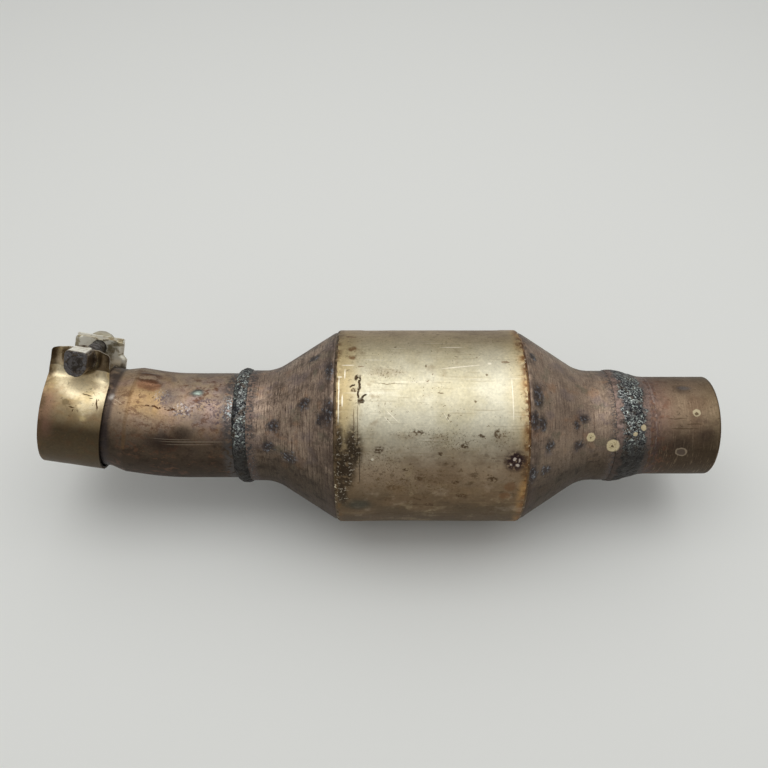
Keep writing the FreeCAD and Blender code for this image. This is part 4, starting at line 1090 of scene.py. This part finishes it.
def band_lift(x, y, z, from_edge):
    """How far the band is pushed out: dish, curled edges, a fold, a weld spot, waves."""
    on_ear = ease_step(z, 26.0, 29.0) * (np.abs(y) < EAR_Y + 2)
    from_bolt = np.where(z < BOLT_Z, np.hypot(x, z - BOLT_Z), np.abs(x))
    lip = 1.8 + 1.6 * ease_step(z, BOLT_Z - 8, BOLT_Z)
    dish = 1 - ease_step((from_bolt - DISH_R + 0.1) / lip, 0, 1)
    curl = (np.clip(CURL_REACH - from_edge, 0, None) / CURL_REACH) ** 2
    near_curl = np.where(x > 0, 2.6, 1.9) * ease_step(z, 20.0, 30.0) * (y > 0)
    far_curl = 1.2 * ease_step(z, 22.0, 30.0) * (y < 0)
    lift = curl * (near_curl + far_curl) - DISH_DEPTH * on_ear * (y > 0) * dish
    degrees = np.degrees(np.arctan2(y, z))
    fold = bump_at(x, degrees, 7.0, 76, 5.5, 12, -35)
    fold = fold - bump_at(x, degrees, 11.5, 70, 3.0, 14, -35)
    weld = bump_at(x, degrees, -3.4, 65.7, 1.9, 3.4)
    round_part = 1 - ease_step(z, 22.0, 27.0)
    waves = 0.1 * layered(np.stack([x, y, z], -1), 15, 61)
    return lift + round_part * 0.22 * (fold - weld) + waves - 0.1


def loop_edges(quad):
    """The edges of a face, in order."""
    return zip(quad, quad[1:] + quad[:1])


def open_edges(quads):
    """The edges that only one face uses, in that face's direction."""
    used = {}
    for quad in quads.tolist():
        for a, b in loop_edges(quad):
            if used.pop((b, a), None) is None:
                used[(a, b)] = True
    return np.array(list(used))


def make_band():
    """Fold the band as a thick strip with a dish, holes and curled edges."""
    line, normal = band_line()
    steps = np.linalg.norm(np.diff(line, axis=0), axis=1)
    lengths = np.concatenate([[0], np.cumsum(steps)])
    depth = np.minimum(lengths, lengths[-1] - lengths)
    left, right = strip_places(depth, lengths > lengths[-1] / 2)
    x = -right + (left + right) * np.linspace(0, 1, BAND_COLUMNS)
    y, z = (np.repeat(line[:, k:k + 1], BAND_COLUMNS, 1) for k in range(2))
    lift = band_lift(x, y, z, np.minimum(left - x, x + right)).ravel()
    outward = np.pad(np.repeat(normal, BAND_COLUMNS, 0), ((0, 0), (1, 0)))
    middle = np.stack([x, y, z], -1).reshape(-1, 3) + outward * lift[:, None]

    skin = np.arange(x.size).reshape(x.shape)
    quads = np.stack([skin[:-1, :-1], skin[1:, :-1], skin[1:, 1:], skin[:-1, 1:]], -1)
    quads = quads.reshape(-1, 4)
    from_hole = np.where(z > EAR_FOOT, np.hypot(x, z - BOLT_Z), np.inf).ravel()
    quads = quads[(from_hole[quads] > HOLE_R - 0.05).all(1)]
    edges = open_edges(quads)
    rim = np.unique(edges)
    rim = rim[from_hole[rim] < HOLE_R + 1.6]
    off_bolt = middle[rim] - [0, 0, BOLT_Z]
    share = HOLE_R / np.hypot(off_bolt[:, 0], off_bolt[:, 2])
    middle[rim, 0] *= share
    middle[rim, 2] = BOLT_Z + off_bolt[:, 2] * share

    half = outward * BAND_T / 2
    points = clamp_place(np.concatenate([middle + half, middle - half]))
    a, b = edges.T
    sides = np.stack([b, a, a + x.size, b + x.size], -1)
    quads = np.concatenate([quads, quads[:, ::-1] + x.size, sides])
    turn = np.degrees(np.arctan2(line[:, 0], line[:, 1]))
    turn = np.where(turn < -20, turn + 360, turn)
    around = np.where(np.abs(turn - 180) < 150, np.radians(turn) * BAND_UNROLL, lengths)
    runs = np.stack([x.ravel(), np.repeat(around, BAND_COLUMNS), np.zeros(x.size)], -1)
    runs = np.concatenate([runs, runs + [0, 0, 1]])[quads].reshape(-1, 3)
    quads, runs = oriented(points, quads, runs)
    add_piece("band", points, quads.tolist(), band_paint(), ["clamp_band"],
              runs, crease=50)


make_band()


def nut_section(along, angle, radius):
    """Flat top, straight sides and a round foot, with a worn front edge."""
    up, side = np.cos(np.radians(angle)), np.abs(np.sin(np.radians(angle)))
    top = NUT_RISE / np.maximum(up, 1e-6)
    flank = NUT_HALF / np.maximum(side, 1e-6)
    foot = np.sqrt(np.clip(NUT_HALF ** 2 - (NUT_DROP * side) ** 2, 0, None))
    foot = foot - NUT_DROP * up
    straight = np.minimum(np.where(up > 0, top, np.inf), flank)
    edge = np.where(straight * up > -NUT_DROP, straight, foot)
    corner = 0.9 * np.exp(-((np.abs(angle) - 41.8) / 7.0) ** 2)
    worn = 0.5 * np.clip(1 - (NUT_STOP - along) / 0.8, 0, 1) ** 2
    return np.where(radius > BOLT_R + 0.6, edge - corner - worn, radius)


def nut_relief(rest, along, angle):
    """Rusty crust over the nut."""
    return 0.16 * layered(rest, 2.2, 45, 4) - 0.05


def head_section(along, angle, radius):
    """The bolt's hexagon, with a turned chamfer at its outer end."""
    flat = HEX / 2 / np.cos(np.radians((angle + 30) % 60 - 30))
    slant = HEX / 2 - 0.1 + np.clip(along - HEAD_START, 0, None) * 1.75
    return np.minimum(np.minimum(flat, HEX / 2 * 1.13), slant)


def thread_section(along, angle, radius):
    """A rolled thread that runs out at the bolt's tip."""
    turn = (along / THREAD_PITCH - angle / 360) % 1
    groove = 0.62 * np.abs(2 * turn - 1) ** 1.2
    cut = ease_step(along, THREAD_START, THREAD_START + 1.5) * (along < BOLT_TIP - 0.1)
    point = 0.1 * ease_step(along, BOLT_TIP - 0.6, BOLT_TIP)
    return radius - groove * cut - point


bolt_metal = plain_metal("bolt_finish", (104, 100, 98), (66, 60, 54), 0.42, scale=2.0,
                         crust=0.14, skin=False)
head_metal = plain_metal("head_finish", (206, 202, 188), (150, 142, 122), 0.34, 0.6, crust=0.1)
washer_metal = plain_metal("washer_finish", (122, 112, 98), (78, 64, 50), 0.42,
                           scale=2.0, crust=0.12)

turned("bolt_shank", [(-FAR_SEAT - 1.0, BOLT_R), (-FAR_SEAT + 8, BOLT_R),
                      (BOLT_TIP, BOLT_R)], None, bolt_axis, bolt_metal,
       ["clamp_bolt"], step=0.16, segments=72, reference=BOLT_R, shape=thread_section, crease=50)
turned("bolt_flange", [(HEAD_STOP, FLANGE_R - 0.5), (HEAD_STOP + 0.5, FLANGE_R),
                       (-FAR_SEAT, FLANGE_R)], None, bolt_axis, head_metal,
       step=0.3, segments=120, reference=FLANGE_R)
turned("bolt_head", [(HEAD_START, HEX / 2), (HEAD_STOP + 0.2, HEX / 2)], None, bolt_axis,
       head_metal, step=0.2, segments=180, reference=HEX / 2,
       shape=head_section, crease=28)
turned("nut", [(NUT_START, NUT_HALF), (NUT_STOP - 0.8, NUT_HALF), (NUT_STOP, NUT_HALF)],
       [(NUT_START, BOLT_R + 0.05), (NUT_STOP, BOLT_R + 0.05)], bolt_axis, nut_paint(),
       ["clamp_nut"], step=0.4, segments=180, reference=NUT_HALF,
       relief=nut_relief, shape=nut_section, crease=28)
turned("washer", [(NEAR_SEAT, WASHER_R - 0.25), (NEAR_SEAT + 0.25, WASHER_R),
                  (NUT_START - 0.25, WASHER_R), (NUT_START, WASHER_R - 0.3)],
       [(NEAR_SEAT, HOLE_R), (NUT_START, HOLE_R)], bolt_axis, washer_metal,
       ["clamp_washer"], step=0.3, segments=120, reference=WASHER_R)


# The honeycomb.

CELL_PITCH, CELL_WALL, PIT_DEPTH, PLUG_INSET, SKIN = 1.8, 0.42, 5.0, 0.25, 0.8


def honeycomb_face(side):
    """Points of a round plate ruled into square channels, and which are cut off."""
    count = int(MONOLITH_R // CELL_PITCH) + 1
    half = (CELL_PITCH - CELL_WALL) / 2
    lines = [k * CELL_PITCH + off for k in range(-count, count + 1) for off in (-half, half)]
    y, z = np.meshgrid(lines, lines, indexing="ij")
    reach = np.hypot(y, z)
    outside = reach > MONOLITH_R - SKIN
    scale = np.where(outside, MONOLITH_R / reach, 1.0)
    return np.stack([np.full_like(y, side), y * scale, z * scale], -1), outside


def make_honeycomb():
    """The wall-flow honeycomb as a closed skin, and where its plugs go."""
    points, quads, pits, floors = [], [], [], []
    plugs = {"inlet": [], "outlet": []}
    half = MONOLITH_LENGTH / 2
    for end, place, inward, odd in (("inlet", CAN_MIDDLE - half, 1, 0),
                                    ("outlet", CAN_MIDDLE + half, -1, 1)):
        face, outside = honeycomb_face(place)
        size = len(face)
        base = len(points) * size ** 2
        points.append(face.reshape(-1, 3))
        for i, j in np.ndindex(size - 1, size - 1):
            corners = [(i, j), (i + 1, j), (i + 1, j + 1), (i, j + 1)]
            cut = [outside[corner] for corner in corners]
            if all(cut):
                continue
            index = [base + a * size + b for a, b in corners]
            square = np.array([face[corner] for corner in corners])
            if i % 2 or j % 2 or any(cut):
                quads.append(index)
                continue
            pits.append((index, square + [inward * PIT_DEPTH, 0, 0]))
            if (i // 2 + j // 2) % 2 == odd:
                plugs[end].append(square)
    total = size ** 2
    uses = {}
    for quad in quads + [index for index, _ in pits]:
        for a, b in loop_edges(quad):
            key = (min(a, b), max(a, b))
            uses[key] = uses.get(key, 0) + 1
    rim = [edge for edge, times in uses.items() if times == 1 and max(edge) < total]
    for number, (index, floor) in enumerate(pits):
        low = [2 * total + 4 * number + k for k in range(4)]
        floors.append(floor)
        quads.append(low)
        quads += [[a, b, d, c] for (a, b), (c, d) in zip(loop_edges(index), loop_edges(low))]
    quads += [[a, b, b + total, a + total] for a, b in rim]
    return np.concatenate(points + floors), quads, plugs


def closed_piece(name, points, quads, paint, node):
    """Add a closed piece and face every polygon of it outward."""
    piece = add_piece(name, points, quads, paint, [node], crease=30)
    made = bmesh.new()
    made.from_mesh(piece.data)
    bmesh.ops.recalc_face_normals(made, faces=made.faces)
    made.to_mesh(piece.data)
    made.free()


comb_points, comb_quads, comb_plugs = make_honeycomb()
ceramic = plain_metal("ceramic_finish", (74, 66, 56), (52, 46, 40), 0.92, 0.0, 9, 0.02, False)
cement = plain_metal("cement_finish", (96, 86, 72), (66, 58, 48), 0.95, 0.0, 6, 0.02, False)
closed_piece("honeycomb", comb_points, comb_quads, ceramic, "filter_monolith")
for end, inward in (("inlet", 1), ("outlet", -1)):
    corners, quads = [], []
    for number, square in enumerate(comb_plugs[end]):
        corners += [square + [inward * depth, 0, 0] for depth in (PLUG_INSET, PIT_DEPTH)]
        top = [8 * number + k for k in range(4)]
        low = [8 * number + 4 + k for k in range(4)]
        quads += [top, low[::-1]]
        quads += [[b, a, c, d] for (a, b), (c, d) in zip(loop_edges(top), loop_edges(low))]
    closed_piece(f"plugs_{end}", np.concatenate(corners), quads, cement,
                 f"{end}_channel_plugs")


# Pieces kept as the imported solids.

seal_metal = plain_metal("seal_finish", (150, 146, 138), (98, 92, 84), 0.5, 1.0, 1.6, 0.2, False)
KEPT = {
    "support_mat": ("mat_fibre", plain_metal(
        "mat_finish", (206, 198, 180), (150, 138, 116), 0.95, 0.0, 4, 0.2, False)),
    "inlet_seal_ring": ("seal_mesh", seal_metal),
    "outlet_seal_ring": ("seal_mesh", seal_metal),
    "clamp_sleeve": ("sleeve_steel", plain_metal(
        "sleeve_finish", (128, 110, 84), (84, 70, 54), 0.42, 1.0, 5, 0.05, False)),
    # The pressure bar's near-white, half-matt finish: partly its pale steel, partly painted light.
    "clamp_pressure_bar": ("band_steel", plain_metal(
        "bar_pale_steel_and_painted_light", (244, 240, 224), (192, 176, 142), 0.32, 0.35, 4, 0.06, False)),
}
for node, (slot, paint) in KEPT.items():
    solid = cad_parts[node]
    solid.data.materials.clear()
    solid.data.materials.append(paint)


# Floor, light and camera, in metres.

FLOOR_Z = -55.1 * MM
CAMERA_TILT = math.radians(40)
CAMERA_X, CAMERA_FAR, CAMERA_LIFT = -0.184, 0.464, 0.02378
LENS, FILM = 37.5, 36.0


def flat_material(name, colour, roughness):
    """A plain surface of one colour."""
    material = bpy.data.materials.new(name)
    material.use_nodes = True
    shader = material.node_tree.nodes["Principled BSDF"]
    shader.inputs["Base Color"].default_value = (*srgb(*colour), 1.0)
    shader.inputs["Roughness"].default_value = roughness
    shader.inputs["Specular IOR Level"].default_value = 0.2
    return material


def soft_lamp(name, place, target, width, depth, watts):
    """An oblong area lamp aimed at a point."""
    data = bpy.data.lights.new(name, "AREA")
    data.shape = "RECTANGLE"
    data.size = width
    data.size_y = depth
    data.energy = watts
    lamp = bpy.data.objects.new(name, data)
    lamp.location = place
    aim = Vector(target) - Vector(place)
    lamp.rotation_euler = aim.to_track_quat("-Z", "Y").to_euler()
    bpy.context.scene.collection.objects.link(lamp)


mesh = bpy.data.meshes.new("floor")
mesh.from_pydata([(x, y, FLOOR_Z) for x, y in ((-6, -4), (6, -4), (6, 8), (-6, 8))], [],
                 [(0, 1, 2, 3)])
mesh.materials.append(flat_material("floor_finish", (238, 239, 235), 0.9))
floor = bpy.data.objects.new("floor", mesh)
bpy.context.scene.collection.objects.link(floor)

soft_lamp("overhead", (-0.17, 0.22, 0.95), (-0.17, 0.18, 0.0), 2.0, 2.2, 6.4)
soft_lamp("overhead_core", (-0.17, 0.07, 0.95), (-0.17, 0.04, 0.0), 1.5, 0.65, 2.7)

world = bpy.data.worlds.new("surroundings")
bpy.context.scene.world = world
world.use_nodes = True
background = world.node_tree.nodes["Background"]
background.inputs["Color"].default_value = (*srgb(200, 200, 200), 1.0)
background.inputs["Strength"].default_value = 0.6

# The camera looks 50 degrees down. Its lift is along the picture's upright,
# and brings the part below the middle of the picture.

c, s = math.cos(CAMERA_TILT), math.sin(CAMERA_TILT)
camera_data = bpy.data.cameras.new("camera")
camera_data.lens = LENS
camera_data.sensor_width = FILM
camera = bpy.data.objects.new("camera", camera_data)
camera.location = (CAMERA_X, CAMERA_LIFT * c - CAMERA_FAR * s, CAMERA_LIFT * s + CAMERA_FAR * c)
camera.rotation_euler = (CAMERA_TILT, 0, 0)
bpy.context.scene.collection.objects.link(camera)
bpy.context.scene.camera = camera
bpy.context.scene.view_settings.view_transform = "Standard"
